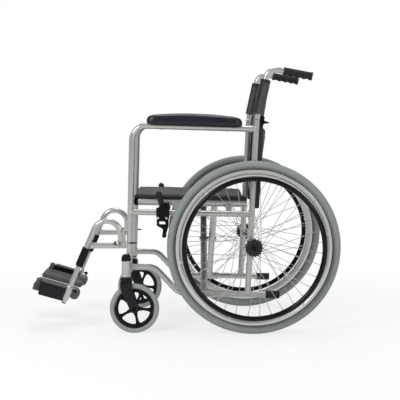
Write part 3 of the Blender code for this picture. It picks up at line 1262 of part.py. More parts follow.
def make_brake_lever():
    """Brake lever: a flat boss on its pivot and a round grip that leans forwards."""
    x, y, z = LEVER_PIVOT
    inner = y - 0.0006
    lean = Vector((-math.sin(LEVER_LEAN), 0.0, math.cos(LEVER_LEAN)))
    across = Vector((math.cos(LEVER_LEAN), 0.0, math.sin(LEVER_LEAN)))
    start = Vector((x, inner, z))
    corners = [start - lean * 0.011 - across * 0.008, start - lean * 0.011 + across * 0.010,
               start + lean * 0.018 + across * 0.009, start + lean * 0.030 + across * 0.006,
               start + lean * 0.030 - across * 0.006, start + lean * 0.010 - across * 0.009]
    outline = rounded_outline(corners, 0.004, 2)
    boss = slab(outline, (0.0, -0.0066, 0.0))
    middle = start + Vector((0.0, -0.0033, 0.0))
    profile = [(0.0, 0.014), (0.0070, 0.0145), (0.0084, 0.020), (LEVER_GRIP_R * 0.92, 0.034),
               (LEVER_GRIP_R, 0.046), (LEVER_GRIP_R * 0.86, LEVER_LENGTH - 0.005),
               (LEVER_GRIP_R * 0.5, LEVER_LENGTH - 0.0008), (0.0, LEVER_LENGTH)]
    grip = turned(profile, middle + Vector((0.0, -0.0075, 0.0)), lean, ROUND)
    join(boss, grip)
    clear = box((x - 0.08, inner, z - 0.08), (x + 0.08, inner + 0.05, z + 0.12))
    bore = cylinder((x, y + 0.02, z), (x, y - 0.05, z), 0.0036, 10)
    return cut(boss, clear, bore)


def make_brake_shoe():
    """Shoe arm: a plate with a window, and the shoe bar that presses on the tyre."""
    x, y, z = SHOE_PIVOT
    front, rear = (ahead(distance) for distance in BRAKE_PLATE_AHEAD)
    inner = y - 0.0006
    shoe_x = ahead(SHOE_AHEAD)
    corners = [(front + 0.0015, z - 0.0040), (front + 0.0015, z - 0.0265), (shoe_x - 0.006, z - 0.0385),
               (shoe_x - 0.006, SHOE_Z), (shoe_x + 0.006, SHOE_Z), (rear - 0.003, z - 0.030),
               (rear - 0.0015, z + 0.0065), (x - 0.0070, z + 0.0065), (x - 0.0085, z - 0.0040)]
    outline = rounded_outline([(px, inner, pz) for px, pz in corners], 0.003, 2)
    arm = slab(outline, (0.0, -0.0050, 0.0))
    # Only the tip reaches out to the tyre, so the rest stays in the arm's plane.
    bar = cylinder((shoe_x, inner - 0.0004, SHOE_Z), (shoe_x, -WHEEL_PLANE - TYRE_WIDTH / 2 + 0.002, SHOE_Z),
                   SHOE_R, 12)
    join(arm, bar)
    window_low, window_high = z - 0.0215, z - 0.0120
    window = box((front + 0.0110, inner - 0.02, window_low), (rear - 0.0140, inner + 0.02, window_high))
    bore = cylinder((x, y + 0.02, z), (x, y - 0.05, z), 0.0034, 10)
    return cut(arm, window, bore)


def make_rubber_tip():
    """Rubber ferrule over the rear end of the lower rail."""
    end = AXLE_X + LOW_RAIL_END
    along = Vector((math.cos(FRAME_TILT), 0.0, -math.sin(FRAME_TILT)))
    start = Vector((end, -FRAME_HALF, rail_height(LOW_RAIL_Z, end))) - along * TIP_OVERLAP
    bore = TUBE_R + 0.0005
    profile = [(bore, 0.0), (TIP_R - 0.001, 0.0), (TIP_R, 0.002), (TIP_R, TIP_LENGTH - 0.003),
               (TIP_R - 0.002, TIP_LENGTH), (0.0, TIP_LENGTH), (0.0, TIP_OVERLAP + FIT), (bore, TIP_OVERLAP + FIT)]
    return turned(profile, start, along, ROUND, closed=True)


def main():
    clear_scene()
    frame_paint = make_material("frame_paint", (0.50, 0.51, 0.50), 0.38, 0.55)
    tyre_grey = make_material("tyre_grey", (0.30, 0.34, 0.33), 0.75)
    caster_grey = make_material("caster_grey", (0.36, 0.37, 0.39), 0.7)
    rim_silver = make_material("rim_silver", (0.62, 0.63, 0.60), 0.35, 0.8)
    black_plastic = make_material("black_plastic", (0.018, 0.020, 0.024), 0.45)
    black_metal = make_material("black_metal", (0.015, 0.015, 0.018), 0.38, 0.3)
    bright_steel = make_material("bright_steel", (0.60, 0.60, 0.60), 0.28, 1.0)
    charcoal_cloth = make_material("charcoal_cloth", (0.075, 0.072, 0.082), 0.85)
    pad_vinyl = make_material("pad_vinyl", (0.020, 0.024, 0.040), 0.5)
    black_rubber = make_material("black_rubber", (0.022, 0.022, 0.026), 0.7)

    crossing = brace_geometry()
    left_base = (AXLE_X, -FRAME_HALF, rail_height(LOW_RAIL_Z, AXLE_X))
    right_base = (AXLE_X, FRAME_HALF, left_base[2])
    chair = joint_empty("chair", (0.0, 0.0, 0.0))
    left = joint_empty("left_side", left_base, chair)
    front_brace = joint_empty("fold_axis", left_base, left)
    rear_brace = joint_empty("cross_pivot", tuple(crossing), front_brace)
    right = joint_empty("right_side", right_base, rear_brace)

    def flip(place):
        return (place[0], -place[1], place[2])

    def pair(name, maker, material, carriers, smooth=35.0):
        item = finish_piece(maker(), name + "_left", material, carriers[0], smooth)
        mirrored(item, name + "_right", carriers[1])

    def carriers(name, place, parents=(left, right)):
        return (joint_empty(name + "_left", place, parents[0]),
                joint_empty(name + "_right", flip(place), parents[1]))

    sides = (left, right)
    pair("side_frame", make_side_frame, frame_paint, sides)
    pair("axle", make_axle, bright_steel, sides)
    pair("caster_cap", make_caster_cap, black_plastic, sides)
    pair("arm_pad", make_arm_pad, pad_vinyl, sides, 60.0)
    pair("brake_plate", make_brake_plate, black_metal, sides)
    pair("rubber_tip", make_rubber_tip, black_rubber, sides)

    wheels = carriers("wheel_axis", WHEEL_CENTRE)
    pair("rear_tyre", make_rear_tyre, tyre_grey, wheels, 50.0)
    pair("rear_rim", make_rim, rim_silver, wheels)
    pair("rear_hub", make_hub, black_metal, wheels)
    pair("handrim", make_handrim, black_plastic, wheels, 50.0)

    swivels = carriers("caster_swivel", STEM)
    caster_axes = carriers("caster_axis", CASTER_CENTRE, swivels)
    pair("caster_fork", make_fork, black_plastic, swivels)
    pair("caster_axle", make_caster_axle, bright_steel, swivels)
    pair("caster_wheel", make_caster_wheel, black_plastic, caster_axes)
    pair("caster_tyre", make_caster_tyre, caster_grey, caster_axes, 50.0)

    levers = carriers("brake_pivot", LEVER_PIVOT)
    shoes = carriers("shoe_pivot", SHOE_PIVOT)
    pair("brake_lever", make_brake_lever, black_plastic, levers)
    pair("brake_shoe", make_brake_shoe, black_metal, shoes)

    canes = carriers("back_hinge", BACK_HINGE)
    back_pins = carriers("back_lever_pin", LEVER_PIN)
    pair("back_cane", make_back_cane, frame_paint, canes)
    pair("push_grip", make_grip, black_rubber, canes)
    pair("back_lever", make_back_lever, black_plastic, back_pins)

    hangers = carriers("hanger_axis", HANGER_AXIS)
    slides = carriers("foot_slide", tuple(on_hanger(0.0)), hangers)
    pin_place = tuple(on_plate(0.0, -FRAME_HALF + PIN_INSET, 0.0))
    flips = carriers("flip_pin", pin_place, slides)
    latches = carriers("latch_pin", LATCH_PIVOT, hangers)
    pair("hanger", make_hanger, frame_paint, hangers)
    pair("hanger_latch", make_latch, black_metal, latches)
    pair("leg_sleeve", make_leg_sleeve, black_plastic, hangers)
    pair("foot_tube", make_foot_tube, frame_paint, slides)
    pair("hinge_block", make_hinge_block, black_plastic, slides)
    pair("foot_screw", make_foot_screw, black_plastic, slides)
    pair("footplate", make_footplate, black_plastic, flips)

    arm_front = make_brace_arm(BRACE_FRONT_AHEAD, -1)
    finish_piece(arm_front, "brace_front", frame_paint, front_brace)
    arm_rear = make_brace_arm(BRACE_REAR_AHEAD, 1)
    finish_piece(arm_rear, "brace_rear", frame_paint, rear_brace)
    finish_piece(make_pivot_bolt(), "pivot_bolt", bright_steel, front_brace)
    pair("rail_cap", make_rail_cap, black_plastic, (rear_brace, front_brace))
    seat_rise = joint_empty("seat_rise", (crossing.x, 0.0, rail_height(SEAT_RAIL_Z, crossing.x)), left)
    finish_piece(make_seat_sling(), "seat_sling", charcoal_cloth, seat_rise, 60.0)
    finish_piece(make_back_upper(), "back_upper", charcoal_cloth, canes[0], 60.0)
    finish_piece(make_back_lower(), "back_lower", charcoal_cloth, left, 60.0)


main()
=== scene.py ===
"""Looks of a folding wheelchair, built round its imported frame.

Every new piece is worked out with numpy: a profile carried along a path or round an axis, or a
sheet given by two parameters. Places are in metres in the frame's own axes: the chair faces -X,
+Z is up, and left is -Y. The right side mirrors the left.
"""

import math

import bmesh
import bpy
import numpy as np
from bpy.props import FloatProperty, FloatVectorProperty, IntProperty, PointerProperty
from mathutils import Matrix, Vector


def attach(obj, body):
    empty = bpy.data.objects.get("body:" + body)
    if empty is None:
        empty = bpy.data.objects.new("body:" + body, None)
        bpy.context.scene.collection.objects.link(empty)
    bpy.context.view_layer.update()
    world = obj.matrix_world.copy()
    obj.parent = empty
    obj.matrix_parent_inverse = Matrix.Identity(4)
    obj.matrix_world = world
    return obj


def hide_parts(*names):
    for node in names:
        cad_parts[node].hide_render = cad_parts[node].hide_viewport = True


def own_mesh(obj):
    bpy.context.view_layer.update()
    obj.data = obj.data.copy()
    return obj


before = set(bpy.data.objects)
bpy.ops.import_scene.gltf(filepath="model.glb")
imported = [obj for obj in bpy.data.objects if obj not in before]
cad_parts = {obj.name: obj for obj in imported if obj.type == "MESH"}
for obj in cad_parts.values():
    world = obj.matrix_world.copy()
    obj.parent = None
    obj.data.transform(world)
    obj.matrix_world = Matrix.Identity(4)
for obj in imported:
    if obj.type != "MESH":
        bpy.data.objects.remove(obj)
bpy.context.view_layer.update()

bl_info = {
    "name": "Folding wheelchair",
    "version": (1, 0, 0),
    "blender": (4, 5, 0),
    "location": "View3D > Sidebar > Wheelchair",
    "description": "Builds the looks of a folding wheelchair round its packed frame",
    "category": "Object",
}

SIDES = (("left", 1.0), ("right", -1.0))

# Places that the frame's source also names, in metres

AXLE_X = 0.2407
FRAME_HALF = 0.222            # middle plane of the chair to a side frame's tubes
RAIL_INSET = 0.030
FRAME_TILT = math.radians(1.2)
ARM_TILT = math.radians(1.7)
TUBE_R = 0.011
WHEEL_R = 0.305
WHEEL_PLANE = 0.280
HUB_HALF = 0.031
HANDRIM_PLANE = 0.320
CASTER_R = 0.0875
CASTER_PLANE = 0.252
STEM_X = -0.2083
CASTER_X = -0.1797
ARM_Z = 0.7205
SIDE_RAIL_Z = 0.4177
SEAT_RAIL_Z = 0.4510
LOW_FRONT_Z = 0.2221
LOW_RAIL_Z = 0.1310
LOW_RAIL_REAR = 0.3027
SEAT_FRONT_X = -0.1815
SEAT_REAR_X = 0.2187
BACK_HINGE_Z = 0.7542
BACK_LEAN = math.radians(12.0)
HANDLE_DROP = math.radians(10.6)
HANDLE_CORNER = 0.1835
HANGER_SLOPE = math.radians(23.1)
HANGER_AXIS_X = -0.2188
LUG_HEIGHTS = (0.3635, 0.3195)
PLATE_TILT = math.radians(16.0)
FLIP_PIN = (-0.4761, 0.1704)
HANGER_TOP = (AXLE_X - 0.5909, 0.299)  # X and Z of the upper end of the hanger's slanted tube

# Sizes and places of the pieces built here

SEAT_RAIL_Y = FRAME_HALF - RAIL_INSET
SEAT_HALF = SEAT_RAIL_Y + 0.0135
SEAT_PAD = 0.0140
RAIL_HALF = 0.0140            # half the height of the oval seat rail
RAIL_LIFT = 0.0030            # the oval's middle over the frame's own rail
RAIL_PLUG_HALF = 0.0143
ARM_R = 0.0120                # cross brace arm
SLEEVE_R = 0.0142             # sleeve of the brace on the lower rail
BOSS_R = 0.0140               # boss of the rear axle
HANGER_R = 0.0102
STRUT_R = 0.0105
SLIDE_R = 0.0088
LATCH_Z = 0.3175
CLOTH_R = 0.0168              # sleeve of the upper back round its cane
CLOTH_BEHIND = 0.0004         # that sleeve's middle behind the cane's
CLOTH_JOIN = 0.0135           # where the sling ends inside the sleeve, from the cane's middle
UPPER_SAG = 0.026
LOWER_LOW, LOWER_HIGH, LOWER_HALF = 0.4402, 0.7240, 0.228
BAND_INNER = 0.2060           # inner edge of the black bands beside the lower panel
SHARP_ANGLE = 38.0            # degrees between two faces from which their edge stays sharp
RUBBER_ANGLE = 50.0
CLOTH_ANGLE = 60.0
DUST = (0.42, 0.41, 0.39)
DUST_ROUGHNESS = 0.35         # what full dust adds to the roughness


def ahead(distance):
    """World X of a point this far ahead of the rear axle."""
    return AXLE_X - distance


def rail_z(height, x, tilt=FRAME_TILT):
    """Height of a rail that slopes down to the rear, from its height over the axle."""
    return height + (AXLE_X - x) * math.tan(tilt)


def arm_z(x):
    """Height of the arm rail's middle line."""
    return rail_z(ARM_Z, x, ARM_TILT)


def upright_x(z):
    """X of the front upright's middle line, which leans back with height."""
    return ahead(0.4375) + (z - 0.3195) * math.tan(math.radians(1.63))


def post_x(z):
    """X of the rear post's middle line, which leans back with height."""
    return ahead(0.009) + (z - WHEEL_R) * math.tan(math.radians(2.85))


def back_place(height, behind=0.0, y=-FRAME_HALF):
    """Points beside the back cane: up along it from the hinge, and square behind it."""
    s, c = math.sin(BACK_LEAN), math.cos(BACK_LEAN)
    height, behind, y = np.broadcast_arrays(height, behind, y)
    return np.stack([post_x(BACK_HINGE_Z) + height * s + behind * c, y + 0.0,
                     BACK_HINGE_Z + height * c - behind * s], -1)


def on_hanger(distance):
    """A point on the slanted tube's middle line, this far down from its upper end."""
    return (HANGER_TOP[0] - distance * math.sin(HANGER_SLOPE), -FRAME_HALF,
            HANGER_TOP[1] - distance * math.cos(HANGER_SLOPE))


def on_plate(forward, y, up):
    """A point from the footplate's pin: forwards along it, at world Y, and square up from it."""
    s, c = math.sin(PLATE_TILT), math.cos(PLATE_TILT)
    return (FLIP_PIN[0] - c * forward + s * up, y, FLIP_PIN[1] + s * forward + c * up)


WHEEL_CENTRE = np.array([AXLE_X, -WHEEL_PLANE, WHEEL_R])
CASTER_CENTRE = np.array([CASTER_X, -CASTER_PLANE, CASTER_R])
STEM = np.array([STEM_X, -CASTER_PLANE, 0.0])
BACK_PIN = (post_x(BACK_HINGE_Z) + 0.0175, BACK_HINGE_Z + 0.003)
DOWN_HANGER = np.array([-math.sin(HANGER_SLOPE), 0.0, -math.cos(HANGER_SLOPE)])
ALONG_HANDLE = np.array([math.cos(HANDLE_DROP), 0.0, -math.sin(HANDLE_DROP)])
UPPER_LOW = (0.7730 - BACK_HINGE_Z) / math.cos(BACK_LEAN)
UPPER_HIGH = (0.8930 - BACK_HINGE_Z) / math.cos(BACK_LEAN)
UPPER_TALL = UPPER_HIGH - UPPER_LOW
ALONG_RAILS = np.array([1.0, 0.0, -math.tan(FRAME_TILT)])


# Shapes as points and faces

def unit(vectors):
    """Vectors scaled to length one."""
    vectors = np.asarray(vectors, float)
    return vectors / np.maximum(np.linalg.norm(vectors, axis=-1, keepdims=True), 1e-12)


def circle(steps):
    """Angles once round."""
    return np.linspace(0, 2 * math.pi, steps, endpoint=False)


def power(values, exponent):
    """A power that keeps the sign, for rounded squares: sign(v) |v|^e."""
    return np.sign(values) * np.abs(values) ** exponent


def bell(values, width):
    """A bump of height one at zero: exp(-(v / width)^2)."""
    return np.exp(-(values / width) ** 2)


def grid(points, wrap_rows=False, wrap_cols=False):
    """Quads between neighbours of a rows by columns grid of points, which may close on itself."""
    rows, cols = points.shape[:2]
    i = np.arange(rows if wrap_rows else rows - 1)[:, None]
    j = np.arange(cols if wrap_cols else cols - 1)[None, :]
    below, beside = (i + 1) % rows, (j + 1) % cols
    corners = (i * cols + j, i * cols + beside, below * cols + beside, below * cols + j)
    return points.reshape(-1, 3), [np.stack(np.broadcast_arrays(*corners), -1).reshape(-1, 4)]


def merged(*shapes):
    """Several shapes as one, each face pointing at its own shape's points."""
    offsets = np.cumsum([0] + [len(points) for points, _ in shapes])
    faces = [f + start for (_, parts), start in zip(shapes, offsets) for f in parts]
    return np.concatenate([points for points, _ in shapes]), faces


def moved(shape, offset):
    """A shape shifted by a vector."""
    return shape[0] + np.asarray(offset, float), shape[1]


def flipped(shape):
    """A shape mirrored in the chair's middle plane."""
    return shape[0] * np.array([1.0, -1.0, 1.0]), [f[:, ::-1] for f in shape[1]]


def repeated(shape, turns, centre):
    """Copies of a shape turned by each angle about a wheel's axis: Rodrigues' rotation of all points."""
    centre, axis = np.asarray(centre, float), np.array([0.0, 1.0, 0.0])
    rel = shape[0] - centre
    c, s = np.cos(turns)[:, None, None], np.sin(turns)[:, None, None]
    along = (rel @ axis)[:, None] * axis
    points = centre + along + (rel - along) * c + np.cross(axis, rel) * s
    count = len(shape[0])
    faces = [(f[None] + np.arange(len(turns))[:, None, None] * count).reshape(-1, f.shape[1])
             for f in shape[1]]
    return points.reshape(-1, 3), faces


def placed(shape, spots, ups, alongs):
    """Copies of a shape at many spots: its x runs along, its z up, and its y across both."""
    spots, z = np.asarray(spots, float), unit(ups)
    x = unit(np.asarray(alongs, float) - np.sum(alongs * z, -1, keepdims=True) * z)
    axes = np.stack([x, np.cross(z, x), z], 1)
    points = spots[:, None] + np.einsum("pk,nkc->npc", shape[0], axes)
    count = len(shape[0])
    faces = [(f[None] + np.arange(len(spots))[:, None, None] * count).reshape(-1, f.shape[1])
             for f in shape[1]]
    return points.reshape(-1, 3), faces


def rounded(corners, radius, steps, closed=False):
    """A line through corners, each one replaced by an arc that touches both its sides."""
    corners = np.asarray(corners, float)
    count = len(corners)
    radii = np.broadcast_to(radius, count)
    parts = []
    for k in range(count):
        here = corners[k]
        a, b = unit(corners[k - 1] - here), unit(corners[(k + 1) % count] - here)
        half = math.acos(max(-1.0, min(1.0, float(a @ b)))) / 2
        if (not closed and k in (0, count - 1)) or radii[k] <= 0 or half > math.pi / 2 - 1e-3:
            parts.append(here[None])
            continue
        middle = here + unit(a + b) * radii[k] / math.sin(half)
        start, end = (here + side * radii[k] / math.tan(half) - middle for side in (a, b))
        sweep = math.pi - 2 * half
        t = np.linspace(0, 1, steps + 1)[:, None]
        parts.append(middle + (np.sin((1 - t) * sweep) * start + np.sin(t * sweep) * end) / math.sin(sweep))
    return np.concatenate(parts)


def swept(path, radius, side=(0, 1, 0), sides=24, closed=False, oval=1.0):
    """A circle, or an oval, carried square along a path; its radius may change on the way."""
    path, side = np.asarray(path, float), np.asarray(side, float)
    radius = np.broadcast_to(radius, len(path)).astype(float)
    if closed:
        along = unit(np.roll(path, -1, 0) - np.roll(path, 1, 0))
    else:
        along = unit(np.gradient(path, axis=0))
        path, along = (np.concatenate([a[:1], a, a[-1:]]) for a in (path, along))
        radius = np.concatenate([[0.0], radius, [0.0]])
    u = unit(side - (along @ side)[:, None] * along if side.ndim == 1 else side)
    v = np.cross(along, u)
    a = circle(sides)[None, :, None]
    ring = np.cos(a) * u[:, None] * oval + np.sin(a) * v[:, None]
    return grid(path[:, None] + ring * radius[:, None, None], wrap_rows=closed, wrap_cols=True)


def straight(start, end, radius, sides=24, edge=0.0008, side=None):
    """A round bar between two points, with its end edges slightly broken."""
    start, end = np.asarray(start, float), np.asarray(end, float)
    along = unit(end - start)
    if side is None:
        side = (0, 1, 0) if abs(along[1]) < 0.9 else (1, 0, 0)
    path = np.stack([start, start + along * edge, end - along * edge, end])
    return swept(path, [radius - edge, radius, radius, radius - edge], side, sides)


def turned(profile, centre, axis, steps, ring=False, radial=None):
    """Pairs of radius and height carried round an axis; radial(angle, row) may scale the radius."""
    profile, axis = np.asarray(profile, float), unit(axis)
    u = unit(np.cross(axis, (0, 0, 1) if abs(axis[2]) < 0.9 else (1, 0, 0)))
    v = np.cross(axis, u)
    a = circle(steps)
    r = np.repeat(profile[:, :1], steps, 1)
    if radial is not None:
        r = r * radial(a[None, :], np.arange(len(profile))[:, None])
    out = np.cos(a)[None, :, None] * u + np.sin(a)[None, :, None] * v
    points = np.asarray(centre, float) + axis * profile[:, 1][:, None, None] + out * r[:, :, None]
    return grid(points, wrap_rows=ring, wrap_cols=True)


def lathe(corners, radius, arcs, centre, axis=(0, 1, 0), steps=64, ring=True):
    """A profile with rounded corners carried round an axis; it closes on itself if it is a ring."""
    return turned(rounded(corners, radius, arcs, closed=ring), centre, axis, steps, ring=ring)


def mirrored(half):
    """A profile from one half of it, which ends at height zero or just before it."""
    return half + [(r, -h) for r, h in half[::-1] if h]


def plate(outline, depth, bevel, steps=1):
    """A flat outline pushed through a depth, with both its edges rounded by a small bevel."""
    outline, depth = np.asarray(outline, float), np.asarray(depth, float)
    thick = float(np.linalg.norm(depth))
    push = depth / thick
    forward = unit(np.roll(outline, -1, 0) - outline)
    turn = np.sum(np.cross(outline - outline.mean(0), forward) @ push)
    inward = np.cross(push, forward) * (1.0 if turn > 0 else -1.0)
    before = np.roll(inward, 1, 0)
    slide = (inward + before) / np.maximum(1 + np.sum(inward * before, -1, keepdims=True), 0.35)
    angles = np.linspace(0, math.pi / 2, steps + 1)
    rise = np.concatenate([bevel * (1 - np.cos(angles)), thick - bevel * (1 - np.cos(angles[::-1]))])
    inset = np.concatenate([bevel * (1 - np.sin(angles)), bevel * (1 - np.sin(angles[::-1]))])
    rows = outline + slide * inset[:, None, None] + push * rise[:, None, None]
    points, faces = grid(rows, wrap_cols=True)
    count = len(outline)
    last = (len(rise) - 1) * count
    faces = faces + [np.arange(count)[None, ::-1], np.arange(count)[None] + last]
    return points, faces


def on_stem(corners, radius, arcs, steps=64, ring=True):
    """A profile of radius and world Z carried round the caster's stem."""
    return lathe(corners, radius, arcs, STEM, (0, 0, 1), steps, ring)


def upright_plate(outline, y, depth, bevel, steps=1):
    """A plate whose outline is given by X and Z at one world Y, pushed sideways through a depth."""
    return plate([(x, y, z) for x, z in outline], (0.0, depth, 0.0), bevel, steps)


def weld(centre, out, radius, parent, parent_radius, bead=0.0019):
    """Bead where a tube meets another: on the child's circle, pushed out to the parent's wall."""
    out, parent = unit(out), unit(parent)
    e1 = unit(np.cross(parent, out))
    e2 = np.cross(out, e1)
    a = circle(64)[:, None]
    flat = (radius + 0.0004) * (np.cos(a) * e1 + np.sin(a) * e2)
    square = flat - (flat @ parent)[:, None] * parent
    push = out - (out @ parent) * parent
    qa, qb = push @ push, 2 * square @ push
    qc = np.sum(square * square, 1) - (parent_radius + 0.0003) ** 2
    s = (-qb + np.sqrt(np.maximum(qb * qb - 4 * qa * qc, 0))) / (2 * qa)
    path = np.asarray(centre, float) + flat + out * s[:, None]
    ripple = bead * (1 + 0.16 * np.sin(a[:, 0] * 26))
    return swept(path, ripple, out, 8, closed=True)


def screw(centre, out, radius, height):
    """Domed screw head with a socket in its top."""
    profile = [(0.0, -0.0006), (radius, -0.0006), (radius, 0.0), (radius, height * 0.45),
               (radius * 0.86, height * 0.85), (radius * 0.55, height), (radius * 0.5, height),
               (radius * 0.5, height * 0.3), (0.0, height * 0.25)]
    return turned(profile, centre, out, 24)


def hex_head(centre, out, across, height):
    """Hexagonal bolt head with its corners turned off."""
    def hexagon(a, row):
        """Share of the radius that six flats leave; rounder at the top edge."""
        flat = math.cos(math.pi / 6) / np.cos((a + math.pi / 6) % (math.pi / 3) - math.pi / 6)
        return np.where(np.isin(row, (1, 2)), np.minimum(flat, 1.0), 1.0 + 0 * a)

    return turned([(0.0, 0.0), (across, 0.0), (across, height * 0.8), (across * 0.84, height),
                   (0.0, height)], centre, out, 72, radial=hexagon)


# Pieces as Blender objects

FINISH = {}


def make_piece(name, shape, finish, body, replaces=(), angle=SHARP_ANGLE):
    """One mesh from a shape: doubles merged, faces turned outwards, shaded smooth up to an angle."""
    points, faces = shape
    mesh = bpy.data.meshes.new(name)
    mesh.from_pydata(points.tolist(), [], [row for part in faces for row in part.tolist()])
    bm = bmesh.new()
    bm.from_mesh(mesh)
    bmesh.ops.remove_doubles(bm, verts=bm.verts, dist=2e-6)
    bmesh.ops.recalc_face_normals(bm, faces=bm.faces)
    bm.to_mesh(mesh)
    bm.free()
    mesh.polygons.foreach_set("use_smooth", np.ones(len(mesh.polygons), bool))
    mesh.set_sharp_from_angle(angle=math.radians(angle))
    mesh.materials.append(FINISH[finish])
    piece = bpy.data.objects.new(name, mesh)
    bpy.context.scene.collection.objects.link(piece)
    if replaces:
        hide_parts(*replaces)
    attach(piece, body)
    return piece


def make_pair(name, shape, finish, body, replaces=(), angle=SHARP_ANGLE):
    """The left piece and its mirror image on the right; body and nodes are named without a side."""
    pieces = []
    for side, sign in SIDES:
        own = shape if sign > 0 else flipped(shape)
        nodes = [f"{node}_{side}" for node in replaces]
        home = f"{side}_side" if body == "side" else f"{body}_{side}"
        pieces.append(make_piece(f"{name}_{side}", own, finish, home, nodes, angle))
    return pieces


def dress(node, finish, bevel=0.0):
    """Gives a CAD node its finish; a bevel rounds its edges by modifiers alone."""
    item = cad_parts[node]
    item.data.materials.clear()
    item.data.materials.append(FINISH[finish])
    for slot in item.material_slots:
        slot.material = FINISH[finish]
    if bevel:
        weld_points = item.modifiers.new("weld points", "WELD")
        weld_points.merge_threshold = 0.00002
        soft = item.modifiers.new("soft edges", "BEVEL")
        soft.width = bevel
        soft.segments = 2
        soft.limit_method = "ANGLE"
        soft.angle_limit = math.radians(SHARP_ANGLE)
        soft.harden_normals = True


def dress_pair(node, finish, bevel=0.0):
    """The same finish on the left and the right node."""
    for side, _ in SIDES:
        dress(f"{node}_{side}", finish, bevel)


# Shader groups and materials

def new_group(name, inputs, outputs):
    """An empty shader group: inputs with their defaults, a vector where there is none; float outputs."""
    group = bpy.data.node_groups.new(name, "ShaderNodeTree")
    for label, default in inputs.items():
        kind = "NodeSocketVector" if default is None else "NodeSocketFloat"
        socket = group.interface.new_socket(label, in_out="INPUT", socket_type=kind)
        if default is not None:
            socket.default_value = default
    for label in outputs:
        group.interface.new_socket(label, in_out="OUTPUT", socket_type="NodeSocketFloat")
    return group, group.nodes.new("NodeGroupInput"), group.nodes.new("NodeGroupOutput")


def node(tree, kind, links=None, **values):
    """A node with its properties and socket values set, linked from other sockets."""
    made = tree.nodes.new(kind)
    for key, value in values.items():
        if hasattr(made, key):
            setattr(made, key, value)
        else:
            made.inputs[key.replace("_", " ").title()].default_value = value
    for key, source in (links or {}).items():
        tree.links.new(source, made.inputs[key])
    return made


def math_node(tree, operation, a, b=None):
    """A Math node on sockets or numbers."""
    made = tree.nodes.new("ShaderNodeMath")
    made.operation = operation
    for index, value in enumerate((a, b)):
        if value is None:
            continue
        if isinstance(value, (int, float)):
            made.inputs[index].default_value = value
        else:
            tree.links.new(value, made.inputs[index])
    return made.outputs[0]


def ramp(tree, source, low, high, from_low, from_high):
    """Maps a value to a range between two numbers, smoothly and within them."""
    made = tree.nodes.new("ShaderNodeMapRange")
    made.interpolation_type = "SMOOTHSTEP"
    for index, value in enumerate((from_low, from_high, low, high), 1):
        made.inputs[index].default_value = value
    tree.links.new(source, made.inputs[0])
    return made.outputs[0]


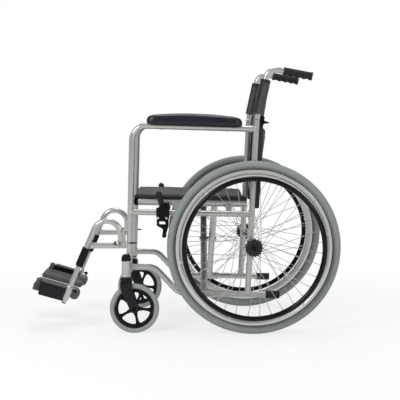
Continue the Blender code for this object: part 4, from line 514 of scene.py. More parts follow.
def build_groups():
    """The shared effects: mottle, grain, weave and dust, each as one group."""
    groups = {}

    # Mottle: cloudy change of colour between a dark and a light share, and a fine speck height.
    g, gi, go = new_group("mottle", {"Cloud Scale": 9.0, "Speck Scale": 500.0, "Depth": 0.12},
                          ("Share", "Cloud", "Height"))
    co = node(g, "ShaderNodeTexCoord")
    place = co.outputs["Object"]
    cloud = node(g, "ShaderNodeTexNoise", {"Vector": place, "Scale": gi.outputs["Cloud Scale"]},
                 Detail=4.0, Roughness=0.55)
    speck = node(g, "ShaderNodeTexNoise", {"Vector": place, "Scale": gi.outputs["Speck Scale"]},
                 Detail=1.5, Roughness=0.6)
    scaled, fine = (math_node(g, "MULTIPLY", math_node(g, "SUBTRACT", noise.outputs["Fac"], 0.5),
                              gi.outputs["Depth"]) for noise in (cloud, speck))
    share = math_node(g, "ADD", math_node(g, "ADD", scaled, fine), 1.0)
    g.links.new(share, go.inputs["Share"])
    g.links.new(cloud.outputs["Fac"], go.inputs["Cloud"])
    g.links.new(speck.outputs["Fac"], go.inputs["Height"])
    groups["mottle"] = g

    # Grain: cells of moulded plastic or leather, whose borders lie deeper than their middles.
    g, gi, go = new_group("grain", {"Scale": 700.0}, ("Height",))
    co = node(g, "ShaderNodeTexCoord")
    warp = node(g, "ShaderNodeTexNoise", {"Vector": co.outputs["Object"], "Scale": gi.outputs["Scale"]},
                Detail=2.0)
    mixed = node(g, "ShaderNodeMix", {4: co.outputs["Object"], 5: warp.outputs["Color"]},
                 data_type="VECTOR")
    mixed.inputs[0].default_value = 0.0012
    cells = node(g, "ShaderNodeTexVoronoi", {"Vector": mixed.outputs[1], "Scale": gi.outputs["Scale"]},
                 feature="DISTANCE_TO_EDGE")
    g.links.new(ramp(g, cells.outputs["Distance"], 0.0, 1.0, 0.0, 0.22), go.inputs["Height"])
    groups["grain"] = g

    # Weave: over-and-under threads from two crossed waves; Vector gives the two thread directions. The
    # second output drops to nothing between the threads, where the cloth gets painted shade.
    g, gi, go = new_group("weave", {"Vector": None, "Threads": 900.0}, ("Height", "Gap Shade"))
    split = node(g, "ShaderNodeSeparateXYZ", {"Vector": gi.outputs["Vector"]})
    angles = [math_node(g, "MULTIPLY", split.outputs[k], gi.outputs["Threads"]) for k in (0, 1)]
    waves = [math_node(g, "ABSOLUTE", math_node(g, "SINE", math_node(g, "MULTIPLY", a, math.pi)))
             for a in angles]
    half = [math_node(g, "MULTIPLY", a, 0.5) for a in angles]
    checks = [math_node(g, "GREATER_THAN", math_node(g, "FRACT", h), 0.5) for h in half]
    swap = math_node(g, "ABSOLUTE", math_node(g, "SUBTRACT", checks[0], checks[1]))
    first = math_node(g, "MULTIPLY", waves[0], swap)
    second = math_node(g, "MULTIPLY", waves[1], math_node(g, "SUBTRACT", 1.0, swap))
    height = math_node(g, "ADD", first, second)
    g.links.new(height, go.inputs["Height"])
    g.links.new(ramp(g, height, 0.0, 1.0, 0.05, 0.75), go.inputs["Gap Shade"])
    groups["weave"] = g

    # Dust: more on faces that look up, broken up by a cloud.
    g, gi, go = new_group("dust", {"Amount": 0.25}, ("Mask",))
    geo = node(g, "ShaderNodeNewGeometry")
    up = node(g, "ShaderNodeSeparateXYZ", {"Vector": geo.outputs["Normal"]})
    co = node(g, "ShaderNodeTexCoord")
    cloud = node(g, "ShaderNodeTexNoise", {"Vector": co.outputs["Object"]}, Scale=34.0, Detail=5.0)
    facing = ramp(g, up.outputs["Z"], 0.15, 1.0, -0.3, 0.95)
    broken = ramp(g, cloud.outputs["Fac"], 0.0, 1.0, 0.42, 0.72)
    mask = math_node(g, "MULTIPLY", math_node(g, "MULTIPLY", facing, broken), gi.outputs["Amount"])
    g.links.new(mask, go.inputs["Mask"])
    groups["dust"] = g
    return groups


def use_group(tree, group, links=None, **values):
    """A group node with its own values."""
    made = tree.nodes.new("ShaderNodeGroup")
    made.node_tree = group
    for key, value in values.items():
        made.inputs[key.replace("_", " ")].default_value = value
    for key, source in (links or {}).items():
        tree.links.new(source, made.inputs[key])
    return made


def scaled_colour(tree, colour, share):
    """The colour multiplied by a share that changes over the surface."""
    mix = tree.nodes.new("ShaderNodeMix")
    mix.data_type = "RGBA"
    mix.blend_type = "MULTIPLY"
    mix.inputs[0].default_value = 1.0
    mix.inputs[6].default_value = (*colour, 1.0)
    tree.links.new(share, mix.inputs[7])
    return mix.outputs[2]


def mixed_colour(tree, mask, first, second):
    """Two colours, sockets or values, mixed by a mask."""
    mix = tree.nodes.new("ShaderNodeMix")
    mix.data_type = "RGBA"
    tree.links.new(mask, mix.inputs[0])
    for index, value in ((6, first), (7, second)):
        if isinstance(value, (tuple, list)):
            mix.inputs[index].default_value = (*value[:3], 1.0)
        else:
            tree.links.new(value, mix.inputs[index])
    return mix.outputs[2]


def new_material(name, **values):
    """An empty Principled material; the values that are the same all over go on its own sockets."""
    material = bpy.data.materials.new(name)
    material.use_nodes = True
    shader = material.node_tree.nodes["Principled BSDF"]
    for key, value in values.items():
        shader.inputs[key.replace("_", " ")].default_value = value
    return material, material.node_tree, shader


def bump(tree, shader, height, strength, distance, under=None):
    """A Bump node from a height to the shader's normal, over another bump if one is given."""
    made = tree.nodes.new("ShaderNodeBump")
    made.inputs["Strength"].default_value = strength
    made.inputs["Distance"].default_value = distance
    tree.links.new(height, made.inputs["Height"])
    if under is not None:
        tree.links.new(under, made.inputs["Normal"])
    tree.links.new(made.outputs["Normal"], shader.inputs["Normal"])
    return made.outputs["Normal"]


def coated(name, groups, colour, rough, metallic=0.0, depth=0.12, cloud=9.0, speck=500.0,
           bump_depth=0.00002, dust=0.12, spread=0.10, grain=0.0, grain_depth=0.0, **extra):
    """Paint, plastic, rubber or metal: mottled colour, uneven gloss, light dust and a fine bump."""
    material, tree, shader = new_material(name, Metallic=metallic, **extra)
    mottle = use_group(tree, groups["mottle"], Cloud_Scale=cloud, Speck_Scale=speck, Depth=depth)
    worn = use_group(tree, groups["dust"], Amount=dust)
    base = scaled_colour(tree, colour, mottle.outputs["Share"])
    dusty = mixed_colour(tree, worn.outputs["Mask"], base, DUST)
    tree.links.new(dusty, shader.inputs["Base Color"])
    gloss = ramp(tree, mottle.outputs["Cloud"], rough - spread / 2, rough + spread / 2, 0.3, 0.7)
    dulled = math_node(tree, "MULTIPLY", worn.outputs["Mask"], DUST_ROUGHNESS)
    lifted = math_node(tree, "ADD", gloss, dulled)
    tree.links.new(lifted, shader.inputs["Roughness"])
    normal = bump(tree, shader, mottle.outputs["Height"], 0.5, bump_depth)
    if grain:
        cells = use_group(tree, groups["grain"], Scale=grain)
        bump(tree, shader, cells.outputs["Height"], 0.6, grain_depth, normal)
    return material


def woven(name, groups, colour, rough, threads, plane, sheen=0.06):
    """Cloth: threads over and under, with painted shade in the gaps between them, a cloudy colour and a
    sheen.
    """
    material, tree, shader = new_material(name, Sheen_Weight=sheen, Sheen_Roughness=0.45,
                                          Roughness=rough)
    co = node(tree, "ShaderNodeTexCoord")
    split = node(tree, "ShaderNodeSeparateXYZ", {"Vector": co.outputs["Object"]})
    joined = tree.nodes.new("ShaderNodeCombineXYZ")
    for index, axis in enumerate(plane):
        tree.links.new(split.outputs["XYZ".index(axis)], joined.inputs[index])
    threads_node = use_group(tree, groups["weave"], {"Vector": joined.outputs[0]}, Threads=threads)
    mottle = use_group(tree, groups["mottle"], Cloud_Scale=9.0, Speck_Scale=900.0, Depth=0.16)
    worn = use_group(tree, groups["dust"], Amount=0.10)
    base = scaled_colour(tree, colour, mottle.outputs["Share"])
    # Painted shade: the gaps between threads take the cloth's colour at 0.45.
    dark = tuple(c * 0.45 for c in colour)
    laid = mixed_colour(tree, threads_node.outputs["Gap Shade"], dark, base)
    dusty = mixed_colour(tree, worn.outputs["Mask"], laid, DUST)
    tree.links.new(dusty, shader.inputs["Base Color"])
    normal = bump(tree, shader, threads_node.outputs["Height"], 0.7, 0.00025)
    bump(tree, shader, mottle.outputs["Cloud"], 0.25, 0.0006, normal)
    return material


# Sizes and finishes that a user would change

def length(name, description, default, least, most):
    """A length that the user may change."""
    return FloatProperty(name=name, description=description, default=default, min=least, max=most,
                         unit="LENGTH")


def colour(name, description, default):
    """A colour that the user may change."""
    return FloatVectorProperty(name=name, description=description, subtype="COLOR", default=default,
                               min=0, max=1)


class WheelchairSizes(bpy.types.PropertyGroup):
    """Sizes of the pieces that are built in the scene."""

    tyre_width: length("Tyre width", "Widest part of a rear tyre", 0.0334, 0.025, 0.036)
    spoke_count: IntProperty(name="Spokes", description="Spokes in a rear wheel", default=36, min=16,
                             max=48)
    spoke_radius: length("Spoke radius", "Half the thickness of a spoke", 0.0010, 0.0006, 0.002)
    tread_blocks: IntProperty(name="Tread blocks", description="Blocks round a rear tyre", default=150,
                              min=60, max=240)
    stitch_pitch: length("Stitch pitch", "From one stitch to the next", 0.0052, 0.003, 0.010)
    piping_radius: length("Piping radius", "Half the thickness of the cloth's piping", 0.0019, 0.001, 0.003)


class WheelchairFinishes(bpy.types.PropertyGroup):
    """Colours of the finishes."""

    paint: colour("Frame paint", "Silver-grey paint of the tubes", (0.47, 0.475, 0.455))
    tyre: colour("Rear tyre", "Grey rubber of the rear tyres", (0.230, 0.256, 0.251))
    caster_tyre: colour("Caster tyre", "Grey rubber of the casters", (0.262, 0.285, 0.282))
    cloth: colour("Upholstery", "Charcoal cloth of the seat and the back", (0.068, 0.065, 0.073))
    pad: colour("Arm pad", "Dark vinyl of the arm pads", (0.0035, 0.0050, 0.0110))
    plastic: colour("Plastic", "Black moulded plastic", (0.0040, 0.0043, 0.0062))
    floor: colour("Floor", "Pale floor", (0.90, 0.90, 0.90))


# Each finish: its material's name, its colour or the property that holds it, then roughness, metallic
# share, depth and scales of the mottle, depth of the fine bump, dust, and spread of the roughness

COATS = {
    "paint": ("silver_paint", "paint", 0.24, 0.62, 0.07, 6.0, 1500.0, 0.000012, 0.06, 0.08),
    "rim": ("rim_alloy", (0.60, 0.605, 0.58), 0.34, 0.75, 0.08, 8.0, 900.0, 0.000012, 0.10, 0.10),
    "tyre": ("tyre_rubber", "tyre", 0.72, 0.0, 0.16, 12.0, 420.0, 0.00006, 0.22, 0.12),
    "caster_tyre": ("caster_rubber", "caster_tyre", 0.62, 0.0, 0.14, 14.0, 420.0, 0.00005, 0.20, 0.12),
    "plastic": ("black_plastic", "plastic", 0.42, 0.0, 0.35, 18.0, 600.0, 0.00003, 0.006, 0.14),
    "fork": ("moulded_fork", (0.0030, 0.0040, 0.0070), 0.22, 0.0, 0.30, 12.0, 700.0, 0.00002, 0.004, 0.08),
    "gloss_black": ("black_coating", (0.0022, 0.0020, 0.0034), 0.20, 0.0, 0.30, 10.0, 900.0, 0.00001,
                    0.003, 0.08),
    "black_metal": ("blackened_metal", (0.0028, 0.0027, 0.0040), 0.36, 0.0, 0.35, 20.0, 700.0, 0.00002,
                    0.005, 0.16),
    "spoke": ("spoke_steel", (0.36, 0.36, 0.355), 0.34, 0.85, 0.12, 40.0, 1200.0, 0.00001, 0.02, 0.12),
    "hub": ("hub_shell", (0.016, 0.016, 0.017), 0.40, 0.0, 0.30, 30.0, 700.0, 0.00002, 0.03, 0.14),
    "bright": ("bright_zinc", (0.80, 0.80, 0.78), 0.32, 0.6, 0.08, 40.0, 1200.0, 0.00001, 0.0, 0.10),
    "foot_plastic": ("foot_plastic", (0.055, 0.055, 0.060), 0.45, 0.0, 0.25, 16.0, 600.0, 0.00003, 0.03,
                     0.12),
    "heel_rubber": ("heel_rubber", (0.110, 0.114, 0.108), 0.55, 0.0, 0.22, 16.0, 520.0, 0.00005, 0.05,
                    0.12),
    "steel": ("zinc_steel", (0.62, 0.62, 0.60), 0.30, 1.0, 0.12, 40.0, 1200.0, 0.00001, 0.04, 0.16),
    "rubber": ("black_rubber", (0.0085, 0.0092, 0.0100), 0.58, 0.0, 0.30, 22.0, 520.0, 0.00008, 0.02, 0.16),
    "pad": ("pad_vinyl", "pad", 0.33, 0.0, 0.25, 10.0, 700.0, 0.00002, 0.02, 0.10),
    "thread": ("sewing_thread", (0.030, 0.029, 0.033), 0.6, 0.0, 0.2),
}
COAT_EXTRAS = {
    "paint": {"Coat_Weight": 0.25, "Coat_Roughness": 0.12},
    "plastic": {"grain": 900.0, "grain_depth": 0.00005, "Specular_IOR_Level": 0.16},
    "fork": {"Specular_IOR_Level": 0.26},
    "gloss_black": {"Specular_IOR_Level": 0.20},
    "black_metal": {"Specular_IOR_Level": 0.15},
    "hub": {"Specular_IOR_Level": 0.28},
    "foot_plastic": {"grain": 800.0, "grain_depth": 0.00006, "Specular_IOR_Level": 0.35},
    "heel_rubber": {"Specular_IOR_Level": 0.35},
    "rubber": {"grain": 480.0, "grain_depth": 0.00008, "Specular_IOR_Level": 0.30},
    "pad": {"grain": 620.0, "grain_depth": 0.00006, "Specular_IOR_Level": 0.40},
}


class WHEELCHAIR_OT_finishes(bpy.types.Operator):
    """Makes every finish that the pieces use"""

    bl_idname = "wheelchair.finishes"
    bl_label = "Finishes"

    def execute(self, context):
        chosen = context.scene.wheelchair_finishes
        groups = build_groups()
        for key, (name, tint, *coat) in COATS.items():
            tint = getattr(chosen, tint) if isinstance(tint, str) else tint
            FINISH[key] = coated(name, groups, tint, *coat, **COAT_EXTRAS.get(key, {}))
        FINISH["cloth_flat"] = woven("seat_cloth", groups, chosen.cloth, 0.82, 760.0, "XY")
        FINISH["cloth_tall"] = woven("back_cloth", groups, chosen.cloth, 0.82, 760.0, "YZ")
        FINISH["binding"] = woven("binding_tape", groups, (0.007, 0.007, 0.009), 0.7, 620.0, "XZ", 0.04)
        return {"FINISHED"}


# Rear wheels

def tyre_shape(width, blocks):
    """Tyre: an egg-shaped section round the axle; shallow blocks and two ribs mark its tread."""
    half, inner, outer = width / 2, 0.2752, WHEEL_R - 0.0001
    u = circle(64)
    c, s = np.cos(u), np.sin(u)
    middle = (outer + inner) / 2 + 0.0008
    tall = np.where(c > 0, outer - middle, middle - inner)
    r = middle + tall * power(c, 0.82)
    h = half * power(s, 0.86) * np.where(c < -0.2, 1 - 0.42 * (-c - 0.2) / 0.8, 1.0)
    a = circle(blocks * 4)[:, None]
    across = np.abs(h / half)
    shoulder = np.clip((c - 0.10) / 0.18, 0, 1) * np.clip((across - 0.30) / 0.10, 0, 1)
    cut = 0.5 - 0.5 * np.sign(np.sin(a * blocks + np.where(h > 0, math.pi, 0.0)) + 0.55)
    grooves = 0.0007 * bell(across - 0.27, 0.07) * (c > 0)
    depth = 0.0008 * shoulder * cut + grooves
    lines = 0.0004 * bell(r - 0.2825, 0.0012) * (across > 0.5)
    radius = r - c * depth + 0 * a
    height = h - s * (depth * 0.5) + s * lines + 0 * a
    points = np.stack([np.cos(a) * radius, height, np.sin(a) * radius], -1) + WHEEL_CENTRE
    return grid(points, wrap_rows=True, wrap_cols=True)


def rim_shape():
    """Rim: hooked edges at the tyre, braking bands on both faces and a rounded well inside."""
    half = 0.0118
    outline = [(0.2740, -half), (0.2746, -half + 0.0016), (0.2700, -half + 0.0024), (0.2690, 0.0),
               (0.2700, half - 0.0024), (0.2746, half - 0.0016), (0.2740, half), (0.2645, half),
               (0.2630, half - 0.0010), (0.2570, half - 0.0022), (0.2505, 0.0068), (0.2488, 0.0),
               (0.2505, -0.0068), (0.2570, -half + 0.0022), (0.2630, -half + 0.0010), (0.2645, -half)]
    return lathe(outline, 0.0008, 3, WHEEL_CENTRE, steps=180)


def spoke_shapes(count, radius):
    """Spokes: thin bars from each flange to the rim, crossing their neighbours; with nipples."""
    k = np.arange(count)
    side = np.where(k % 2, 1.0, -1.0)
    lead = np.where((k // 2) % 2, 1.0, -1.0)
    rim = 2 * math.pi * (k + 0.5) / count
    hub = rim + lead * math.radians(62)
    start = np.stack([np.cos(hub) * 0.0265, side * (0.014 + lead * 0.0018), np.sin(hub) * 0.0265], -1)
    end = np.stack([np.cos(rim) * 0.2494, side * 0.0022, np.sin(rim) * 0.2494], -1)
    along = unit(end - start)
    u = unit(np.cross(along, (0, 1, 0)))
    v = np.cross(along, u)
    a = circle(8)[None, None, :, None]

    def bars(stations, radii):
        """One bar for each spoke, with these radii at these distances along it."""
        places = start[:, None] + along[:, None] * np.asarray(stations)[..., None]
        ring = np.cos(a) * u[:, None, None] + np.sin(a) * v[:, None, None]
        points = places[:, :, None] + ring * np.asarray(radii)[None, :, None, None]
        parts = [grid(p, wrap_cols=True) for p in points]
        return merged(*parts)

    length = np.linalg.norm(end - start, axis=1)[:, None]
    bent = length * np.array([0.0, 0.0, 1.0, 1.0]) + np.array([-0.002, -0.002, 0.0, 0.0])
    wires = bars(bent, [0.0, radius, radius, 0.0])
    nipple = length + np.array([-0.011, -0.011, -0.0102, -0.0035, -0.0030, 0.0, 0.0])
    nipples = bars(nipple, [0.0, 0.0013, 0.0015, 0.0015, 0.0020, 0.0020, 0.0])
    return moved(merged(wires, nipples), WHEEL_CENTRE)


def hub_shape():
    """Hub shell: a waist between two flanges whose edges are scalloped round the spokes' heads."""
    def scallops(a, row):
        """Waves round the two flanges' edges: 1 + 0.075 cos(18 a)."""
        edge = np.isin(row, (4, 5, 6, 7, 12, 13, 14, 15))
        return np.where(edge, 1 + 0.075 * np.cos(18 * a), 1.0)

    profile = mirrored([(0.0066, -HUB_HALF), (0.0138, -HUB_HALF), (0.0145, -0.0300), (0.0155, -0.0204),
                        (0.0284, -0.0190), (0.0296, -0.0175), (0.0296, -0.0115), (0.0284, -0.0102),
                        (0.0175, -0.0082), (0.0165, -0.0060)])
    return turned(profile, WHEEL_CENTRE, (0, 1, 0), 144, ring=True, radial=scallops)


def handrim_shapes():
    """Hand rim: a round tube bent to a ring, and six folded brackets that hold it off the rim."""
    centre = WHEEL_CENTRE - np.array([0.0, HANDRIM_PLANE - WHEEL_PLANE, 0.0])
    a = circle(20)
    ring = turned(np.stack([0.2445 + 0.0089 * np.cos(a), 0.0089 * np.sin(a)], -1), centre, (0, 1, 0), 180,
                  ring=True)
    face = -WHEEL_PLANE - 0.0121
    top = centre[1] + 0.0035
    line = rounded([(0.2640, face - 0.0012), (0.2515, face - 0.0012), (0.2470, top)], 0.004, 5)
    back = np.gradient(line, axis=0)
    across = unit(np.stack([-back[:, 1], back[:, 0]], -1)) * 0.0012
    closed = np.concatenate([line + across, (line - across)[::-1]])
    outline = np.stack([AXLE_X + closed[:, 0], closed[:, 1], np.full(len(closed), WHEEL_R - 0.0045)], -1)
    bracket = plate(outline, (0.0, 0.0, 0.0090), 0.0004)
    turns = -2 * math.pi * (np.arange(6) + 0.18) / 6
    hub = (AXLE_X, 0.0, WHEEL_R)
    heads = screw((AXLE_X + 0.2590, face - 0.0024, WHEEL_R), (0, -1, 0), 0.0024, 0.0014)
    return ring, repeated(bracket, turns, hub), repeated(heads, turns, hub)


def axle_shapes():
    """Axle: outer head with a dished push button, and a hexagonal nut inside the frame."""
    outer = -WHEEL_PLANE - HUB_HALF - 0.0003
    hub = (AXLE_X, 0.0, WHEEL_R)
    head = turned([(0.0, outer), (0.0105, outer), (0.0108, outer - 0.0015), (0.0108, outer - 0.0050),
                   (0.0092, outer - 0.0072), (0.0066, outer - 0.0078), (0.0062, outer - 0.0070),
                   (0.0, outer - 0.0070)], hub, (0, 1, 0), 48)
    button = turned([(0.0, outer - 0.0068), (0.0054, outer - 0.0068), (0.0054, outer - 0.0084),
                     (0.0046, outer - 0.0089), (0.0, outer - 0.0086)], hub, (0, 1, 0), 40)
    inner = -FRAME_HALF + 0.0203
    bar = straight((AXLE_X, outer + 0.001, WHEEL_R), (AXLE_X, inner + 0.0105, WHEEL_R), 0.0058)
    nut = hex_head((AXLE_X, inner, WHEEL_R), (0, 1, 0), 0.0104, 0.0070)
    return merged(head, bar, nut), button


class WHEELCHAIR_OT_rear_wheels(bpy.types.Operator):
    """Tyres, rims, spokes, hubs and hand rims of the rear wheels"""

    bl_idname = "wheelchair.rear_wheels"
    bl_label = "Rear wheels"

    def execute(self, context):
        sizes = context.scene.wheelchair_sizes
        make_pair("tyre", tyre_shape(sizes.tyre_width, sizes.tread_blocks), "tyre", "wheel",
                  ["rear_tyre"], angle=RUBBER_ANGLE)
        make_pair("rim", rim_shape(), "rim", "wheel", ["rear_rim"])
        make_pair("spokes", spoke_shapes(sizes.spoke_count, sizes.spoke_radius), "spoke", "wheel")
        make_pair("hub", hub_shape(), "hub", "wheel", ["rear_hub"])
        ring, brackets, heads = handrim_shapes()
        make_pair("hand_rim", ring, "gloss_black", "wheel", ["handrim"])
        make_pair("hand_rim_brackets", brackets, "rim", "wheel")
        make_pair("hand_rim_screws", heads, "rim", "wheel")
        bolt, button = axle_shapes()
        make_pair("axle_bolt", bolt, "gloss_black", "side", ["axle"])
        make_pair("axle_button", button, "plastic", "side")
        return {"FINISHED"}


# Casters

def caster_tyre_shape():
    """Solid tyre: a rounded tread with two shallow grooves, and flat side walls."""
    u = circle(56)
    c, s = np.cos(u), np.sin(u)
    outer, inner, half = CASTER_R - 0.0001, CASTER_R - 0.0177, 0.0132
    middle = (outer + inner) / 2
    r = middle + (outer - middle) * power(c, 0.55)
    h = half * power(s, 0.62) * np.where(c < 0, 1 + 0.20 * c, 1.0)
    r = r - 0.0006 * bell(np.abs(h) - 0.0058, 0.0008) * (c > 0)
    return turned(np.stack([r, h], -1), CASTER_CENTRE, (0, 1, 0), 128, ring=True)


def caster_wheel_shape():
    """Moulded wheel: a dished rim, five tapered spokes and a stepped hub."""
    x, y, z = CASTER_CENTRE
    rim = lathe(mirrored([(0.0692, -0.0102), (0.0600, -0.0102), (0.0574, -0.0070), (0.0566, 0.0)]),
                0.0012, 3, CASTER_CENTRE, steps=96)
    hub = lathe(mirrored([(0.0045, -0.0153), (0.0125, -0.0153), (0.0175, -0.0110), (0.0178, 0.0)]),
                0.0010, 3, CASTER_CENTRE)
    half = [(0.012, 0.0085, 0), (0.032, 0.0044, 0.02), (0.050, 0.0056, 0.008), (0.0595, 0.0120, 0)]
    corners = [(x + along, z - up) for along, up, _ in half]
    corners += [(x + along, z + up) for along, up, _ in half[::-1]]
    outline = rounded(corners, [r for _, _, r in half + half[::-1]], 4, closed=True)
    spoke = upright_plate(outline, y - 0.0045, 0.0090, 0.0018, 3)
    turns = -np.radians(66 + 72 * np.arange(5))
    return merged(rim, hub, repeated(spoke, turns, CASTER_CENTRE))


def fork_shape():
    """Fork: a bulb under the stem whose two cheeks run down and back to the caster's axle."""
    crown = on_stem([(0.0, 0.1790), (0.0200, 0.1790), (0.0214, 0.1860), (0.0209, 0.1976), (0.0060, 0.1979),
                     (0.0060, 0.2550), (0.0, 0.2550)], [0, 0.003, 0.006, 0.0030, 0.0005, 0.001, 0], 5,
                    ring=False)
    cheeks = []
    for side in (-1, 1):
        inner = -CASTER_PLANE + side * 0.0165
        outline = [(STEM_X - 0.0203, 0.1880), (STEM_X - 0.0207, 0.1600), (STEM_X - 0.0055, 0.1270),
                   (CASTER_X - 0.0168, 0.0860), (CASTER_X - 0.0060, 0.0712), (CASTER_X + 0.0100, 0.0735),
                   (CASTER_X + 0.0167, 0.0900), (STEM_X + 0.0212, 0.1600), (STEM_X + 0.0203, 0.1880)]
        rounds = [0.004, 0.030, 0.040, 0.018, 0.0145, 0.0130, 0.030, 0.030, 0.004]
        line = rounded(outline, rounds, 6, closed=True)
        cheeks.append(upright_plate(line, inner, side * 0.0058, 0.0020, 3))
    return merged(crown, *cheeks)


def caster_small_shapes():
    """Dust cap, the band round its foot, and the caster's bolt."""
    cap = on_stem([(0.0, 0.2569), (0.0165, 0.2569), (0.0170, 0.2650), (0.0152, 0.2735), (0.0095, 0.2795),
                   (0.0, 0.2813)], [0, 0.001, 0.004, 0.010, 0.010, 0], 5, 56, ring=False)
    band = on_stem([(0.0166, 0.2572), (0.0176, 0.2576), (0.0176, 0.2606), (0.0166, 0.2610)], 0.0003, 2, 56)
    x, y, z = CASTER_CENTRE
    out = 0.0226
    bolt = merged(straight((x, y - out, z), (x, y + out, z), 0.0039),
                  screw((x, y - out, z), (0, -1, 0), 0.0074, 0.0036),
                  hex_head((x, y + out, z), (0, 1, 0), 0.0074, 0.0036))
    return cap, band, bolt


class WHEELCHAIR_OT_casters(bpy.types.Operator):
    """Casters with their forks, caps and bolts"""

    bl_idname = "wheelchair.casters"
    bl_label = "Casters"

    def execute(self, context):
        make_pair("caster_tread", caster_tyre_shape(), "caster_tyre", "caster", ["caster_tyre"],
                  angle=RUBBER_ANGLE)
        make_pair("caster_disc", caster_wheel_shape(), "plastic", "caster", ["caster_wheel"])
        make_pair("fork_body", fork_shape(), "fork", "fork", ["caster_fork"])
        cap, band, bolt = caster_small_shapes()
        make_pair("dust_cap", cap, "gloss_black", "side", ["caster_cap"])
        make_pair("dust_cap_band", band, "plastic", "side")
        make_pair("caster_bolt", bolt, "black_metal", "fork", ["caster_axle"])
        return {"FINISHED"}


# Side frames, canes and braces

def side_frame_shapes():
    """Welded side frame: its bent tubes, housing, boss, lugs, saddles and the weld beads."""
    y = -FRAME_HALF
    corner_z = arm_z(upright_x(ARM_Z))
    join_x = post_x(ARM_Z) + 0.002
    loop = rounded([(upright_x(0.2140), y, 0.2140), (upright_x(corner_z), y, corner_z),
                    (join_x, y, arm_z(join_x))], 0.052, 16)
    low_z = rail_z(LOW_RAIL_Z, AXLE_X)
    post_top = BACK_HINGE_Z - 0.0009
    side_front, side_rear = upright_x(SIDE_RAIL_Z), post_x(SIDE_RAIL_Z)
    low_front = upright_x(LOW_FRONT_Z)
    rail = rounded([(low_front, y, rail_z(LOW_FRONT_Z, low_front)),
                    (ahead(0.350), y, rail_z(LOW_FRONT_Z, ahead(0.350))),
                    (ahead(0.262), y, rail_z(LOW_RAIL_Z, ahead(0.262))),
                    (LOW_RAIL_REAR, y, rail_z(LOW_RAIL_Z, LOW_RAIL_REAR))], 0.050, 12)
    tubes = [swept(loop, TUBE_R),
             straight((post_x(low_z), y, low_z), (post_x(post_top), y, post_top), TUBE_R),
             straight((side_front, y, rail_z(SIDE_RAIL_Z, side_front)),
                      (side_rear, y, rail_z(SIDE_RAIL_Z, side_rear)), TUBE_R - 0.0002),
             swept(rail, TUBE_R - 0.0001)]
    housing = on_stem([(0.0068, 0.2000), (0.0158, 0.2000), (0.0163, 0.2006), (0.0163, 0.2060),
                       (0.0159, 0.2066), (0.0159, 0.2510), (0.0163, 0.2516), (0.0163, 0.2566),
                       (0.0068, 0.2566)], 0.0002, 2)
    near = -CASTER_PLANE + 0.008
    web = plate([(STEM_X - 0.004, near, 0.2120), (STEM_X - 0.004, near, 0.2500),
                 (STEM_X + 0.004, y, 0.2500), (STEM_X + 0.004, y, 0.2120)], (0.010, 0.0, 0.0), 0.0006)
    boss = lathe(mirrored([(0.0064, -0.020), (BOSS_R, -0.020)]), 0.0008, 3, (AXLE_X, y, WHEEL_R), steps=48)
    up, back, down = (0, 0, 1), (1, 0, 0), (0, 0, -1)
    beads = [weld((join_x, y, arm_z(join_x)), (-1, 0, 0), TUBE_R, up, TUBE_R),
             weld((side_front, y, rail_z(SIDE_RAIL_Z, side_front)), back, TUBE_R, up, TUBE_R),
             weld((side_rear, y, rail_z(SIDE_RAIL_Z, side_rear)), (-1, 0, 0), TUBE_R, up, TUBE_R),
             weld((post_x(low_z), y, low_z), (math.sin(0.05), 0, 1), TUBE_R, back, TUBE_R),
             weld((low_front, y, rail_z(LOW_FRONT_Z, low_front)), back, TUBE_R, up, TUBE_R),
             weld((STEM_X, -CASTER_PLANE, 0.2310), (0.55, 1.0, 0.0), 0.0105, up, 0.0159),
             weld((AXLE_X, y, WHEEL_R), up, TUBE_R, (0, 1, 0), BOSS_R),
             weld((AXLE_X, y, WHEEL_R), down, TUBE_R, (0, 1, 0), BOSS_R)]
    return merged(*tubes, housing, web, boss, *hinge_shapes(), *saddle_shapes(), *beads)


def hinge_shapes():
    """Lugs of the hanger with their round noses, and its pin."""
    y = -FRAME_HALF
    parts = []
    for height in LUG_HEIGHTS:
        root = upright_x(height)
        angles = np.radians(-90 - np.linspace(0, 180, 13))
        low = height - 0.003
        nose = np.stack([HANGER_AXIS_X + 0.0066 * np.cos(angles), y + 0.0066 * np.sin(angles),
                         np.full(13, low)], -1)
        line = np.concatenate([[(root, y + 0.0070, low), (root, y - 0.0070, low)], nose])
        parts.append(plate(line, (0, 0, 0.006), 0.0005))
    parts.append(straight((HANGER_AXIS_X, y, 0.3175), (HANGER_AXIS_X, y, 0.3685), 0.0036))
    return parts


def black_hinge_shapes():
    """The latch's catch, and the middle leaf of the back hinge with its pins."""
    y = -FRAME_HALF
    front = HANGER_AXIS_X + 0.0190
    parts = [plate([(front, y - 0.0140, 0.3152), (front + 0.028, y - 0.0140, 0.3152),
                    (front + 0.028, y - 0.0080, 0.3152), (front, y - 0.0080, 0.3152)],
                   (0, 0, 0.0046), 0.0006)]
    hx, hz = BACK_PIN
    lx, lz = hx + 0.0075, hz - 0.0135
    root = post_x(BACK_HINGE_Z)
    line = [(root, hz - 0.030), (root + 0.014, hz - 0.029), (lx + 0.003, lz - 0.004),
            (lx + 0.003, lz + 0.004), (hx + 0.0062, hz), (hx + 0.0044, hz + 0.0044), (hx, hz + 0.0062),
            (hx - 0.0044, hz + 0.0044), (hx - 0.0062, hz - 0.0036), (root, hz - 0.0036)]
    parts.append(upright_plate(line, y - 0.0024, 0.0048, 0.0003))
    parts.append(straight((hx, y - 0.0078, hz), (hx, y + 0.0078, hz), 0.0026, 20, 0.0004))
    parts.append(straight((lx, y - 0.0076, lz), (lx, y + 0.0076, lz), 0.0018, 20, 0.0003))
    return parts


